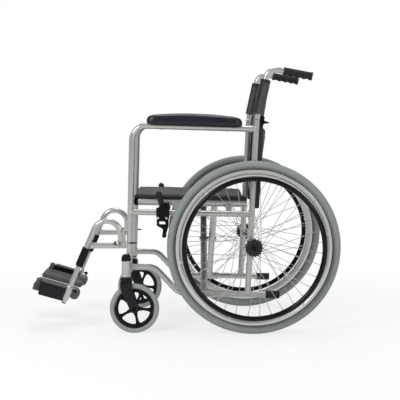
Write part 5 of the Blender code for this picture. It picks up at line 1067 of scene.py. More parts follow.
def saddle_shapes():
    """Saddles: a bracket from the side rail whose top is a cradle for the seat rail."""
    y = -FRAME_HALF
    parts = []
    for distance in (0.271, 0.085):
        x = ahead(distance)
        z = rail_z(SIDE_RAIL_Z, x)
        rise = SEAT_RAIL_Z - SIDE_RAIL_Z
        a = np.radians(np.linspace(-182, 2, 17))
        cradle = np.stack([RAIL_INSET + 0.0118 * np.cos(a), rise + 0.0118 * np.sin(a)], -1)
        outer = np.array([(RAIL_INSET + 0.0155, rise + 0.001), (RAIL_INSET + 0.0155, rise - 0.0130),
                          (RAIL_INSET + 0.004, rise - 0.0170), (0.010, -0.006), (-0.004, -0.002),
                          (-0.002, 0.006), (RAIL_INSET - 0.0155, rise + 0.001)])
        line = np.concatenate([cradle, outer])
        points = np.stack([np.full(len(line), x - 0.010), y + line[:, 0], z + line[:, 1]], -1)
        parts.append(plate(points, (0.020, 0, 0), 0.0005))
    return parts


def cane_shape():
    """Back cane: straight up, bent back to the push handle, with the two outer hinge leaves."""
    bottom = back_place(0.0004)
    corner = back_place(HANDLE_CORNER)
    tube = swept(rounded([bottom, corner, corner + ALONG_HANDLE * 0.155], 0.037, 16), TUBE_R)
    hx, hz = BACK_PIN
    leaves = []
    for side in (-1, 1):
        a = np.radians(np.linspace(210, 380, 10))
        nose = np.stack([hx + 0.0072 * np.cos(a), hz + 0.0072 * np.sin(a)], -1)
        root = [(bottom[0], hz + 0.0115), (bottom[0], hz - 0.0015), (hx - 0.0062, hz - 0.0015)]
        brow = [(hx + 0.0098, hz - 0.0006), (hx + 0.0092, hz + 0.0040), (hx + 0.0050, hz + 0.0085),
                (hx - 0.003, hz + 0.0115)]
        line = np.concatenate([root, nose[:7], brow])
        leaves.append(upright_plate(line, -FRAME_HALF + side * 0.0029, side * 0.0038, 0.0004))
    return tube, merged(*leaves)


def brake_screws():
    """Bright screw heads on the brake's plate, and the one that the shoe turns on."""
    face, z = -FRAME_HALF - 0.0165, 0.4065
    return (screw((-0.0961, face, z), (0, -1, 0), 0.0044, 0.0030),
            screw((-0.0653, face - 0.0057, z), (0, -1, 0), 0.0044, 0.0026))


def lever_sleeve_shape():
    """Soft sleeve over the upper part of the brake's lever, round at its top."""
    lean = math.radians(16)
    up = np.array([-math.sin(lean), 0.0, math.cos(lean)])
    start = np.array([-0.0793, -0.2499, 0.4435]) + up * 0.0150
    s = np.array([0.0, 0.0010, 0.0100, 0.0300, 0.0360, 0.0400, 0.0430, 0.0448, 0.0456])
    r = np.array([0.0085, 0.0094, 0.0100, 0.0110, 0.0110, 0.0100, 0.0077, 0.0046, 0.0012])
    return swept(start + up * s[:, None], r, (0, 1, 0), 32)


def brace_shape(distance, side):
    """Cross brace arm: a tube from one lower rail up to the other seat rail, with its sleeve."""
    cross_x = ahead(0.1545)
    low_c, high_c = rail_z(LOW_RAIL_Z, cross_x), rail_z(SEAT_RAIL_Z, cross_x)
    cross_z = low_c + (high_c - low_c) * FRAME_HALF / (2 * FRAME_HALF - RAIL_INSET)
    lean = math.tan(FRAME_TILT)
    x = ahead(distance)
    low_z, high_z = rail_z(LOW_RAIL_Z, x), rail_z(SEAT_RAIL_Z, x)
    low = np.array([x - (cross_z - low_z) * lean, side * FRAME_HALF, low_z])
    high = np.array([x + (high_z - cross_z) * lean, -side * SEAT_RAIL_Y, high_z])
    out = unit(high - low)
    arm = straight(low + out * 0.0118, high - out * 0.004, ARM_R, side=(1, 0, 0))
    foot = (low[0], low[1], rail_z(LOW_RAIL_Z, low[0]))
    sleeve = lathe(mirrored([(0.0116, -0.036), (SLEEVE_R, -0.036)]), 0.0008, 3, foot, ALONG_RAILS, 40)
    front, rear = SEAT_FRONT_X + 0.009, SEAT_REAR_X
    stations = np.array([0.0, 0.002, rear - front - 0.002, rear - front])[:, None]
    start = np.array([front, high[1], rail_z(SEAT_RAIL_Z, front) + RAIL_LIFT])
    halves = [RAIL_HALF - 0.0008, RAIL_HALF, RAIL_HALF, RAIL_HALF - 0.0008]
    rail = swept(start + ALONG_RAILS * stations, halves, oval=TUBE_R / RAIL_HALF)
    beads = [weld(low, out, ARM_R, ALONG_RAILS, SLEEVE_R), weld(high, -out, ARM_R, ALONG_RAILS, TUBE_R)]
    return merged(arm, sleeve, rail, *beads)


def pad_screws_shape():
    """The two screws that hold an arm pad from below."""
    return merged(*[screw((x, -FRAME_HALF, arm_z(x) - TUBE_R), (0, 0, -1), 0.0040, 0.0024)
                    for x in (ahead(0.324), ahead(0.092))])


def rail_end_shape(side):
    """Oval plug over the front end of a seat rail."""
    front = SEAT_FRONT_X - 0.0012
    stations = np.array([0.0, 0.0010, 0.0040, 0.0070, 0.0150])[:, None]
    start = np.array([front, side * SEAT_RAIL_Y, rail_z(SEAT_RAIL_Z, front) + RAIL_LIFT - 0.0004])
    halves = [0.0070, 0.0095, 0.0128, RAIL_PLUG_HALF, RAIL_PLUG_HALF]
    return swept(start + ALONG_RAILS * stations, halves, oval=0.0116 / RAIL_PLUG_HALF)


def foot_plug_shape():
    """Black plug in the open foot of the front upright."""
    x = upright_x(0.2140)
    return turned([(0.0, 0.2142), (0.0090, 0.2142), (0.0109, 0.2142), (0.0109, 0.2118), (0.0098, 0.2104),
                   (0.0, 0.2100)][::-1], (x, -FRAME_HALF, 0.0), (0, 0, 1), 32)


class WHEELCHAIR_OT_tubes(bpy.types.Operator):
    """Side frames, back canes and cross braces"""

    bl_idname = "wheelchair.tubes"
    bl_label = "Frame tubes"

    def execute(self, context):
        make_pair("frame_tubes", side_frame_shapes(), "paint", "side", ["side_frame"])
        make_pair("black_hinge", merged(*black_hinge_shapes()), "black_metal", "side")
        tube, leaves = cane_shape()
        make_pair("cane", tube, "paint", "back", ["back_cane"])
        make_pair("hinge_leaves", leaves, "black_metal", "back")
        fixed, shoe = brake_screws()
        make_pair("brake_screws", fixed, "bright", "side")
        make_pair("shoe_screw", shoe, "bright", "shoe")
        make_piece("brace_arm_front", brace_shape(0.170, -1), "paint", "front_brace", ["brace_front"])
        make_piece("brace_arm_rear", brace_shape(0.139, 1), "paint", "rear_brace", ["brace_rear"])
        make_pair("pad_screws", pad_screws_shape(), "steel", "side")
        make_pair("foot_plug", foot_plug_shape(), "plastic", "side")
        dress("pivot_bolt", "steel", 0.0005)
        make_piece("rail_end_left", rail_end_shape(-1), "plastic", "rear_brace", ["rail_cap_left"])
        make_piece("rail_end_right", rail_end_shape(1), "plastic", "front_brace", ["rail_cap_right"])
        dress_pair("rubber_tip", "rubber")
        dress_pair("brake_plate", "black_metal", 0.0005)
        dress_pair("brake_lever", "plastic")
        make_pair("lever_sleeve", lever_sleeve_shape(), "rubber", "brake_handle")
        dress_pair("brake_shoe", "black_metal", 0.0005)
        dress_pair("back_lever", "plastic", 0.0004)
        return {"FINISHED"}


# Hangers and footrests

def hanger_shape():
    """Hanger: rear leg, hoop and slanted tube in one bend, with its strut and hinge barrel."""
    y = -FRAME_HALF
    leg_x, strut_z, top_z = ahead(0.4700), 0.307, 0.395
    slope = math.tan(HANGER_SLOPE)
    turn = math.pi - HANGER_SLOPE
    line_x = HANGER_TOP[0] + (top_z - HANGER_TOP[1]) * slope
    radius = (leg_x - line_x) / (1 - math.cos(turn) - (1 - math.sin(turn)) * slope)
    a = np.linspace(0, turn, 28)
    arc = np.stack([leg_x - radius + radius * np.cos(a), np.full(28, y),
                    top_z - radius + radius * np.sin(a)], -1)
    path = np.concatenate([[(leg_x, y, strut_z)], arc, [on_hanger(0.066)]])
    tube = swept(path, HANGER_R)
    foot = np.array(on_hanger((HANGER_TOP[1] - strut_z) / math.cos(HANGER_SLOPE)))
    strut = straight(foot + np.array([0.0093, 0.0, 0.0]), (leg_x + 0.0005, y, strut_z), STRUT_R)
    barrel = straight((HANGER_AXIS_X, y, 0.3231), (HANGER_AXIS_X, y, 0.3599), 0.0072)
    px, py, pz = HANGER_AXIS_X - 0.0125, y - 0.0135, LATCH_Z
    ears = [plate([(px - 0.003, py - 0.002, pz + h), (px + 0.003, py - 0.002, pz + h),
                   (px + 0.003, y - 0.004, pz + h), (px - 0.003, y - 0.004, pz + h)], (0, 0, 0.002), 0.0003)
            for h in (-0.0055, 0.0035)]
    pin = straight((px, py, pz - 0.005), (px, py, pz + 0.005), 0.0012, 16, 0.0002)
    beads = [weld(foot, (1, 0, 0), STRUT_R, DOWN_HANGER, HANGER_R),
             weld((leg_x, y, strut_z), (0, 0, 1), HANGER_R, (1, 0, 0), STRUT_R, 0.0015)]
    hub = straight((HANGER_AXIS_X, y, 0.2975), (HANGER_AXIS_X, y, 0.3180), 0.0088)
    return merged(tube, strut, barrel, hub, *ears, pin, *beads)


def side_view_plate(outline, rounds, near, far, bevel):
    """A shape with this outline in the footrest's side view, from one world Y to another."""
    line = rounded(outline, rounds, 6, closed=True)
    return plate([on_plate(f, near, u) for f, u in line], (0.0, far - near, 0.0), bevel, 4)


def foot_block_shape():
    """Hinge block: a tall moulded body with soft edges, from the pin back to the foot tube."""
    outline = [(0.0365, 0.0030), (0.0365, -0.0480), (-0.0520, -0.0478), (-0.0580, 0.0015)]
    body = side_view_plate(outline, [0.0050, 0.0060, 0.0060, 0.0050], -0.2330, -0.1890, 0.0045)
    rib = side_view_plate([(0.0290, -0.0060), (0.0290, -0.0390), (-0.0400, -0.0390), (-0.0440, -0.0060)],
                          0.0050, -0.2338, -0.2300, 0.0010)
    return merged(body, rib)


def footplate_shapes():
    """Footplate: pin's eye and lug, a thick board with ribs on top, and a round bulge at its heel."""
    eye = straight(on_plate(0.0372, -0.200, -0.0050), on_plate(0.0560, -0.200, -0.0050), 0.0112, 32, 0.0030)
    lug = side_view_plate([(0.0372, -0.0060), (0.0372, -0.0400), (0.0640, -0.0400), (0.0560, -0.0060)],
                          0.0050, -0.2100, -0.1800, 0.0035)
    board = side_view_plate([(0.0640, -0.0160), (0.0646, -0.0350), (-0.0930, -0.0350), (-0.0930, -0.0160)],
                            0.0085, -0.1878, -0.0500, 0.0060)
    ribs = [straight(on_plate(0.050, y, -0.0163), on_plate(-0.066, y, -0.0163), 0.0013, 10)
            for y in np.linspace(-0.176, -0.062, 9)]
    a = circle(44)
    c, s = np.cos(a), np.sin(a)
    ring = np.stack([-0.0862 + 0.0172 * power(c, 0.86), -0.0215 + 0.0185 * power(s, 0.86)], -1)
    heel = plate([on_plate(f, -0.1884, u) for f, u in ring], (0.0, 0.0560, 0.0), 0.0070, 5)
    return merged(eye, lug, board, *ribs), heel


def latch_knob_shape():
    """Round knob at the outer end of the hanger's latch."""
    profile = [(0.0, -0.0022), (0.0040, -0.0022), (0.0044, 0.0), (0.0058, 0.0012), (0.0064, 0.0036),
               (0.0058, 0.0060), (0.0036, 0.0074), (0.0, 0.0078)]
    return turned(profile, (-0.2392, -0.2372, 0.3176), (0, -1, 0), 36)


def foot_tube_shapes():
    """Foot tube with its clamp, its end cap, and the black sleeve on the hanger that it slides in."""
    tube = swept([on_hanger(d) for d in (0.0240, 0.0245, 0.0300, 0.0310, 0.0460, 0.0480, 0.2110)],
                 [0.0042, 0.0050, 0.0050, 0.0083, 0.0083, SLIDE_R, SLIDE_R])
    cap = turned([(0.0, -0.001), (0.0080, -0.001), (0.0080, 0.0), (0.0089, 0.0), (0.0089, 0.0022),
                  (0.0074, 0.0034), (0.0, 0.0036)], on_hanger(0.2110), DOWN_HANGER, 32)
    sleeve = lathe([(0.0108, 0.0), (0.0130, 0.0), (0.0137, 0.0018), (0.0137, 0.0670), (0.0122, 0.0706),
                    (0.0096, 0.0710), (0.0096, 0.0663), (0.0108, 0.0663)], 0.0005, 3, on_hanger(0.0),
                   DOWN_HANGER, 40)
    clamp = lathe([(0.0091, 0.1480), (0.0106, 0.1480), (0.0122, 0.1530), (0.0122, 0.1980), (0.0108, 0.2010),
                   (0.0091, 0.2010)], 0.0006, 3, on_hanger(0.0), DOWN_HANGER, 40)
    return merged(tube, clamp), cap, sleeve


class WHEELCHAIR_OT_footrests(bpy.types.Operator):
    """Hangers, foot tubes, hinge blocks and footplates"""

    bl_idname = "wheelchair.footrests"
    bl_label = "Footrests"

    def execute(self, context):
        make_pair("hanger_tube", hanger_shape(), "paint", "hanger_body", ["hanger"])
        tube, cap, sleeve = foot_tube_shapes()
        make_pair("slide_tube", tube, "paint", "foot", ["foot_tube"])
        make_pair("slide_tube_cap", cap, "plastic", "foot")
        make_pair("hanger_sleeve", sleeve, "plastic", "hanger_body", ["leg_sleeve"])
        dress_pair("hanger_latch", "black_metal", 0.0004)
        make_pair("latch_knob", latch_knob_shape(), "paint", "latch")
        make_pair("foot_block", foot_block_shape(), "fork", "foot", ["hinge_block"])
        dress_pair("foot_screw", "plastic", 0.0005)
        board, heel = footplate_shapes()
        make_pair("foot_board", board, "foot_plastic", "plate", ["footplate"])
        make_pair("foot_heel", heel, "heel_rubber", "plate")
        return {"FINISHED"}


# Upholstery

def seat_surface(x, y):
    """Underside height of the sling: over the rails, with a dip between them."""
    share = (x - SEAT_FRONT_X) / (SEAT_REAR_X - SEAT_FRONT_X)
    sag = 0.022 * (0.55 + 0.45 * np.sin(math.pi * np.minimum(1.0, 0.15 + share)))
    inside = np.minimum(1.0, np.abs(y) / (0.80 * SEAT_RAIL_Y))
    return rail_z(SEAT_RAIL_Z, x) + RAIL_LIFT + RAIL_HALF + 0.0006 - sag * (1 - inside ** 2)


def seat_top(x, y):
    """Top height of the sling: a padded middle, sewn flat along the rails, with shallow creases."""
    edge_x = np.minimum(x - SEAT_FRONT_X, SEAT_REAR_X - x)
    edge_y = SEAT_HALF - np.abs(y)
    full = np.clip(edge_x / 0.009, 0, 1) ** 0.5 * np.clip(edge_y / 0.008, 0, 1) ** 0.5
    seam = bell(np.abs(y) - SEAT_RAIL_Y + 0.020, 0.0035) + bell(edge_x - 0.020, 0.0035)
    crease = 0.0009 * np.sin(x * 61 + 2.1 * np.sin(y * 17)) * bell(np.abs(y) - SEAT_RAIL_Y * 0.82, 0.04)
    crease += 0.0006 * np.sin(y * 48 + 3 * np.sin(x * 9)) * np.clip(edge_x / 0.08, 0, 1)
    padding = SEAT_PAD * full * (1.0 - 0.22 * np.clip(seam, 0, 1)) + crease * full
    return seat_surface(x, y) + np.maximum(padding, 0.0)


def seat_shape():
    """Sling seat: an upper and a lower sheet over the same grid, joined round their edge."""
    t = np.linspace(-1, 1, 121)
    y = SEAT_HALF * (0.75 * t + 0.25 * np.sin(t * math.pi / 2))
    s = np.linspace(0, 1, 101)
    s = 0.85 * s + 0.15 * (1 - np.cos(math.pi * s)) / 2
    x = SEAT_FRONT_X + 0.001 + (SEAT_REAR_X - SEAT_FRONT_X - 0.002) * s
    gx, gy = np.meshgrid(x, y, indexing="ij")
    top = np.stack([gx, gy, np.maximum(seat_top(gx, gy), seat_surface(gx, gy) + 0.0022)], -1)
    low = np.stack([gx, gy, seat_surface(gx, gy)], -1)
    return closed_sheet(top, low)


def closed_sheet(top, low):
    """A closed shell from two grids of the same size: both faces, and a band round their rims."""
    rows, cols = top.shape[:2]
    i, j = np.arange(rows), np.arange(cols)
    rim = np.concatenate([np.stack([0 * j, j], -1)[:-1], np.stack([i, 0 * i + cols - 1], -1)[:-1],
                          np.stack([0 * j + rows - 1, j[::-1]], -1)[:-1],
                          np.stack([i[::-1], 0 * i], -1)[:-1]])
    band = np.stack([top[rim[:, 0], rim[:, 1]], low[rim[:, 0], rim[:, 1]]])
    return merged(grid(top), grid(low), grid(band, wrap_cols=True))


def stitches(line, ups, pitch):
    """A row of stitches: short capsules laid along a line, half sunk in the cloth."""
    steps = np.concatenate([[0.0], np.cumsum(np.linalg.norm(np.diff(line, axis=0), axis=1))])
    spots = np.arange(pitch / 2, steps[-1], pitch)
    at = np.stack([np.interp(spots, steps, line[:, k]) for k in range(3)], -1)
    nxt = np.stack([np.interp(spots + 0.001, steps, line[:, k]) for k in range(3)], -1)
    up = np.broadcast_to(ups, at.shape)
    length, r = pitch * 0.36, 0.00042
    stitch = swept([(-length, 0, -0.0003), (-length * 0.8, 0, 0.0001), (0, 0, 0.0003),
                    (length * 0.8, 0, 0.0001), (length, 0, -0.0003)], [r * 0.5, r, r, r, r * 0.5],
                   (0, 1, 0), 6)
    return placed(stitch, at, up, nxt - at)


def seat_trim(pitch, piping):
    """Black tape round the sling's edge, with piping, and double rows of stitches inside it."""
    x = np.linspace(SEAT_FRONT_X + 0.002, SEAT_REAR_X - 0.002, 60)
    pipes, rows = [], []
    for side in (-1, 1):
        y = np.full_like(x, side * (SEAT_HALF - 0.0004))
        pipes.append(swept(np.stack([x, y, seat_surface(x, y) + 0.0004], -1), piping, (0, 1, 0), 12))
        line = np.stack([x, y + side * 0.0016, seat_surface(x, y) + 0.0042], -1)[1:]
        pipes.append(swept(line, 0.0050, (0, 1, 0), 20, oval=0.42))
        for inset in (0.0290, 0.0325):
            ys = np.full_like(x, side * (SEAT_HALF - inset))
            rows.append(stitches(np.stack([x, ys, seat_top(x, ys)], -1)[3:-3], (0, 0, 1), pitch))
    y = np.linspace(-SEAT_HALF + 0.001, SEAT_HALF - 0.001, 120)
    for edge in (SEAT_FRONT_X + 0.0012, SEAT_REAR_X - 0.0012):
        xs = np.full_like(y, edge)
        pipes.append(swept(np.stack([xs, y, seat_surface(xs, y) + 0.0014], -1), piping, (1, 0, 0), 12))
    for inset in (0.018, 0.0215):
        xs = np.full_like(y, SEAT_FRONT_X + inset)
        rows.append(stitches(np.stack([xs, y, seat_top(xs, y)], -1)[9:-9], (0, 0, 1), pitch))
    return merged(*pipes), merged(*rows)


def back_sag(y, sag):
    """How far the sling bows behind the canes, from nothing at them to its most in the middle."""
    return sag * (1 - np.minimum(1.0, np.abs(y) / FRAME_HALF) ** 2)


def upper_sag(share):
    """The upper panel's bow at a share of its height: most at its foot, two fifths less at its top."""
    return UPPER_SAG * (0.80 + 0.20 * np.cos(math.pi * share))


def upper_ring(height, share, swell):
    """One level of the upper panel's sling: its rear face from cane to cane, and its front face back."""
    sag = upper_sag(share)
    y = np.linspace(-FRAME_HALF + CLOTH_JOIN, FRAME_HALF - CLOTH_JOIN, 65)
    back = np.stack([0.0035 + back_sag(y, sag) + 0.006 + swell, y], -1)
    front = np.stack([0.0035 + back_sag(y, sag) - swell * 0.3, y], -1)[::-1]
    ring = np.concatenate([back, front])
    crease = 0.0007 * np.sin(height * 95 + ring[:, 1] * 40) * bell(np.abs(ring[:, 1]) - 0.185, 0.03)
    return back_place(height, ring[:, 0] + crease, ring[:, 1])


def round_cane(heights, radius, angle, behind=CLOTH_BEHIND):
    """Points round the left cane: up along it, at a radius and an angle from a line behind its own."""
    return back_place(heights, behind + radius * np.sin(angle), -FRAME_HALF + radius * np.cos(angle))


def sleeve_shape():
    """Sleeve of the upper panel round a cane: a soft tube whose wall follows hems and long creases."""
    rows = np.linspace(0, 1, 40)
    heights = UPPER_LOW + UPPER_TALL * rows
    edge = (np.minimum(rows, 1 - rows) * UPPER_TALL)[:, None]
    a = circle(72)[None, :]
    crease = 0.00045 * np.sin(5 * a + 1.6 * np.sin(heights[:, None] * 24)) * np.clip(edge / 0.02, 0, 1)
    wall = CLOTH_R + crease + 0.0004 * bell(edge - 0.004, 0.004) - 0.0008 * (edge < 1e-9)
    outer = round_cane(heights[:, None], wall, a)
    inner = round_cane(heights[:, None], 0.0113, a, 0.0)
    return grid(np.concatenate([outer, inner[::-1]]), wrap_rows=True, wrap_cols=True)


def upper_back_shape():
    """Upper back panel: the closed skin of the sling between the canes, and a flap below it."""
    rows = np.linspace(0, 1, 34)
    heights = UPPER_LOW + UPPER_TALL * rows
    edge = np.minimum(rows, 1 - rows) * UPPER_TALL
    hem = 0.0004 * bell(edge - 0.004, 0.004)
    levels = [upper_ring(h, s, w - 0.0008 * (e < 1e-9)) for h, s, w, e in zip(heights, rows, hem, edge)]
    shape = grid(np.stack(levels), wrap_cols=True)
    count = levels[0].shape[0]
    caps = [np.arange(count)[None, ::-1], np.arange(count)[None] + (len(levels) - 1) * count]
    h, y = np.meshgrid(np.linspace(-0.0215, UPPER_LOW + 0.004, 14), np.linspace(-0.194, 0.194, 81),
                       indexing="ij")
    behind = 0.0037 + back_sag(y, UPPER_SAG + 0.010 * (UPPER_LOW - h))
    flap = closed_sheet(back_place(h, behind + 0.0046, y), back_place(h, behind, y))
    return merged((shape[0], shape[1] + caps), flap)


def lower_dip(z, y):
    """How far the lower panel's weight draws it down: nothing at the posts, most at the top's middle."""
    share = np.clip((z - LOWER_LOW) / (LOWER_HIGH - LOWER_LOW), 0.0, 1.0)
    return 0.012 * share ** 2 * np.clip(1 - (np.abs(y) / BAND_INNER) ** 2, 0.0, 1.0)


def lower_places(z, y, behind):
    """Points behind the rear posts at height z, lowered towards the middle of the panel's upper edge."""
    z, y, behind = np.broadcast_arrays(z, y, behind)
    z = z - lower_dip(z, y)
    return np.stack([post_x(z) + behind, y + 0.0, z + 0.0], -1)


def lower_back_behind(z, y, face):
    """Distance of the lower panel's front (0) or rear (1) face behind the posts' middle line."""
    bow = np.clip((z - 0.600) / 0.124, 0.0, 1.0)
    sag = 0.0195 + 0.0110 * bow * bow * (3 - 2 * bow)
    base = TUBE_R + 0.0006 + back_sag(y, sag)
    edge = np.minimum(np.minimum(z - LOWER_LOW, LOWER_HIGH - z), LOWER_HALF - np.abs(y))
    full = np.clip(edge / 0.008, 0.0, 1.0) ** 0.5
    seam = bell(edge - 0.020, 0.003)
    crease = 0.0008 * np.sin(z * 70 + 3 * np.sin(y * 22)) * bell(np.abs(y) - 0.17, 0.05)
    thick = 0.0060 * (0.35 + 0.65 * full) * (1 - 0.25 * seam)
    middle = base + 0.0030
    if face:
        return middle + thick / 2 + crease
    return np.maximum(middle - thick / 2 + crease, base)


def on_lower(z, y, face, depth=0.0):
    """Points on the lower panel's front (0) or rear (1) face, or this depth in front of it."""
    return lower_places(z, y, lower_back_behind(z, y, face) - depth)


def lower_back_shape():
    """Lower back panel: a front and a rear sheet behind the posts, closed round their edge."""
    z, y = np.meshgrid(np.linspace(LOWER_LOW, LOWER_HIGH, 81), np.linspace(-LOWER_HALF, LOWER_HALF, 121),
                       indexing="ij")
    return closed_sheet(on_lower(z, y, 1), on_lower(z, y, 0))


def back_trim(pitch, piping):
    """Piping along the panels' edges and stitches beside it, above and below."""
    upper_pipes, upper_rows, lower_pipes, lower_rows = [], [], [], []
    h = np.linspace(UPPER_LOW + 0.001, UPPER_HIGH - 0.001, 30)
    y = np.linspace(-0.206, 0.206, 90)
    for height, share in ((UPPER_LOW + 0.0012, 0.0), (UPPER_HIGH - 0.0012, 1.0)):
        line = back_place(height, 0.0065 + back_sag(y, upper_sag(share)), y)
        upper_pipes.append(swept(line, piping * 1.5, (1, 0, 0), 12))
    sag = upper_sag((h - h[0]) / (h[-1] - h[0]))
    rearward = np.array([math.cos(BACK_LEAN), 0.0, -math.sin(BACK_LEAN)])
    for side in (-1, 1):
        ys = np.full_like(h, side * (FRAME_HALF - 0.026))
        for face, up in ((0.0100, 1.0), (0.0034, -1.0)):
            line = back_place(h, face + back_sag(ys, sag), ys)
            upper_rows.append(stitches(line, up * rearward, pitch))
    z = np.linspace(LOWER_LOW + 0.001, LOWER_HIGH - 0.001, 60)
    for side in (-1, 1):
        ys = np.full_like(z, side * 0.2282)
        lower_pipes.append(swept(on_lower(z, ys, 1, 0.0020), piping, (0, 1, 0), 12))
        ys = np.full_like(z, side * 0.2080)
        lower_rows.append(stitches(on_lower(z, ys, 1), (1, 0, 0), pitch))
        lower_rows.append(stitches(on_lower(z, ys, 0), (-1, 0, 0), pitch))
    y = np.linspace(-0.227, 0.227, 100)
    for edge in (LOWER_LOW + 0.0004, LOWER_HIGH - 0.0004):
        zs = np.full_like(y, edge)
        lower_pipes.append(swept(on_lower(zs, y, 1, 0.0018), piping, (0, 0, 1), 12))
    return merged(*upper_pipes), merged(*upper_rows), merged(*lower_pipes), merged(*lower_rows)


def band_shape():
    """Black band behind a rear post, over the lower panel's side edge, and a tab above it."""
    parts = []
    near = BAND_INNER
    for far, top in ((0.2300, 0.7232), (0.2132, 0.7430)):
        z = np.linspace(LOWER_LOW - 0.0004, top, 24)
        line = np.concatenate([lower_places(z, -near, 0.0119), lower_places(z, -near, 0.0238)[::-1]])
        parts.append(plate(line, (0.0, near - far, 0.0), 0.0010, 2))
    return merged(*parts)


def sleeve_trim_and_shade_shape(piping):
    """Trim of a sleeve: piping down its rear, a black band down its front that paints the shade along the
    sleeve's front edge, and a hem round its top.
    """
    h = np.linspace(UPPER_LOW + 0.030, UPPER_HIGH - 0.001, 30)
    parts = [swept(back_place(h, CLOTH_BEHIND + 0.0166, -FRAME_HALF + 0.0035), piping, (0, 1, 0), 12)]
    # The first sheet wraps the sleeve's front as painted shade along its front edge; the second is the hem
    # round its top.
    for low, high, first, last in ((UPPER_LOW - 0.0004, UPPER_HIGH - 0.004, -55, -155),
                                   (UPPER_HIGH - 0.0100, UPPER_HIGH + 0.0006, 20, -335)):
        rows, a = np.meshgrid(np.linspace(low, high, 30), np.radians(np.linspace(first, last, 60)),
                              indexing="ij")
        parts.append(closed_sheet(round_cane(rows, 0.0179, a), round_cane(rows, 0.0166, a)))
    return merged(*parts)


def arm_pad_shape():
    """Arm pad: superelliptic sections along the arm rail, crowned, tapering to rounded ends."""
    front, rear = ahead(0.3765), ahead(0.0385)
    length = rear - front
    t = np.linspace(0, math.pi, 90)
    d = length / 2 * (1 - np.cos(t))
    edge = np.minimum(d, length - d)
    size = np.clip(edge / 0.030, 0, 1)
    size = np.sqrt(1 - (1 - size) ** 2) ** 0.75
    x = front + d
    crown = 0.0095 * (2 * d / length - 1) ** 2
    low, high = arm_z(x) + 0.002, arm_z(x) + 0.048 - crown
    middle = low + (high - low) * 0.40
    a = circle(56)[None, :]
    c, s = np.cos(a), np.sin(a)
    wide = 0.0255 * size[:, None] * power(c, 0.70)
    tall = np.where(s > 0, (high - middle)[:, None], (middle - low)[:, None]) * size[:, None] ** 0.8
    lift = tall * power(s, 0.66)
    seam = 1 - 0.045 * bell(lift + 0.002, 0.0011)
    points = np.stack([np.broadcast_to(x[:, None], wide.shape), -FRAME_HALF + wide * seam,
                       middle[:, None] + lift], -1)
    return grid(points, wrap_cols=True)


CLOTH_SETTINGS = {"quality": 5, "mass": 0.25, "tension_stiffness": 12.0, "compression_stiffness": 12.0,
                  "shear_stiffness": 4.0, "bending_stiffness": 0.4, "vertex_group_mass": "held",
                  "use_pressure": True, "uniform_pressure_force": 4.0}
CLOTH_FRAMES = 20
SHRINK = 0.0008               # how far inside its home a free point starts


def as_mesh(item):
    """A new mesh of an object with its modifiers applied."""
    return bpy.data.meshes.new_from_object(item.evaluated_get(bpy.context.evaluated_depsgraph_get()))


def triples(items, key):
    """The vectors of a mesh's points or normals as an array."""
    values = np.empty(len(items) * 3)
    items.foreach_get(key, values)
    return values.reshape(-1, 3)


def inflate(piece, pinned, voxel=0.0045, cap=0.0030):
    """Padded fabric by simulation: an even mesh of the piece, held at its seams, is blown up as cloth.

    The copy starts a little smaller along its normals; no point ends further than cap from home.
    """
    scene = bpy.context.scene
    work = bpy.data.objects.new(piece.name + "_work", piece.data.copy())
    scene.collection.objects.link(work)
    remesh = work.modifiers.new("even mesh", "REMESH")
    remesh.mode = "VOXEL"
    remesh.voxel_size = voxel
    even = as_mesh(work)
    work.modifiers.clear()
    work.data = even
    home, normals = triples(even.vertices, "co"), triples(even.vertex_normals, "vector")
    held = pinned(home)
    even.vertices.foreach_set("co", (home - normals * np.where(held, 0.0, SHRINK)[:, None]).ravel())
    group = work.vertex_groups.new(name="held")
    group.add(np.flatnonzero(held).tolist(), 1.0, "REPLACE")
    cloth = work.modifiers.new("cloth", "CLOTH")
    for key, value in CLOTH_SETTINGS.items():
        setattr(cloth.settings, key, value)
    cloth.settings.effector_weights.gravity = 0.0
    for number in range(1, CLOTH_FRAMES + 1):
        scene.frame_set(number)
    travel = triples(as_mesh(work).vertices, "co") - home
    distance = np.linalg.norm(travel, axis=1, keepdims=True)
    final = home + travel * np.minimum(1.0, cap / np.maximum(distance, 1e-9))
    work.modifiers.clear()
    even.vertices.foreach_set("co", final.ravel())
    smooth = work.modifiers.new("smooth", "SUBSURF")
    smooth.levels = 1
    smooth.render_levels = 1
    done = as_mesh(work)
    done.polygons.foreach_set("use_smooth", np.ones(len(done.polygons), bool))
    done.materials.clear()
    for material in piece.data.materials:
        done.materials.append(material)
    piece.data = done
    bpy.data.objects.remove(work)
    scene.frame_set(1)


def seat_pins(points):
    """Seat points that stay: the sides out to their seams, the front seam and both ends."""
    edge_x = np.minimum(points[:, 0] - SEAT_FRONT_X, SEAT_REAR_X - points[:, 0])
    edge_y = SEAT_HALF - np.abs(points[:, 1])
    front = points[:, 0] - SEAT_FRONT_X
    return (edge_y < 0.0345) | (edge_x < 0.006) | (np.abs(front - 0.0197) < 0.0045)


def upper_pins(points):
    """Upper back points that stay: the ends at the sleeves, the hems and the flap."""
    low = back_place(UPPER_LOW + 0.010, 0.0, 0.0)[2]
    high = back_place(UPPER_HIGH - 0.010, 0.0, 0.0)[2]
    return (np.abs(points[:, 1]) > FRAME_HALF - 0.030) | (points[:, 2] < low) | (points[:, 2] > high)


def lower_pins(points):
    """Lower back points that stay: both sides out to their seams, and the hems."""
    top = LOWER_HIGH - lower_dip(LOWER_HIGH, points[:, 1])
    edge = np.minimum(points[:, 2] - LOWER_LOW, top - points[:, 2])
    return (np.abs(points[:, 1]) > BAND_INNER) | (edge < 0.010)


def pad_pins(points):
    """Arm pad points that stay: the seam round it and all below."""
    return points[:, 2] < arm_z(points[:, 0]) + 0.0215


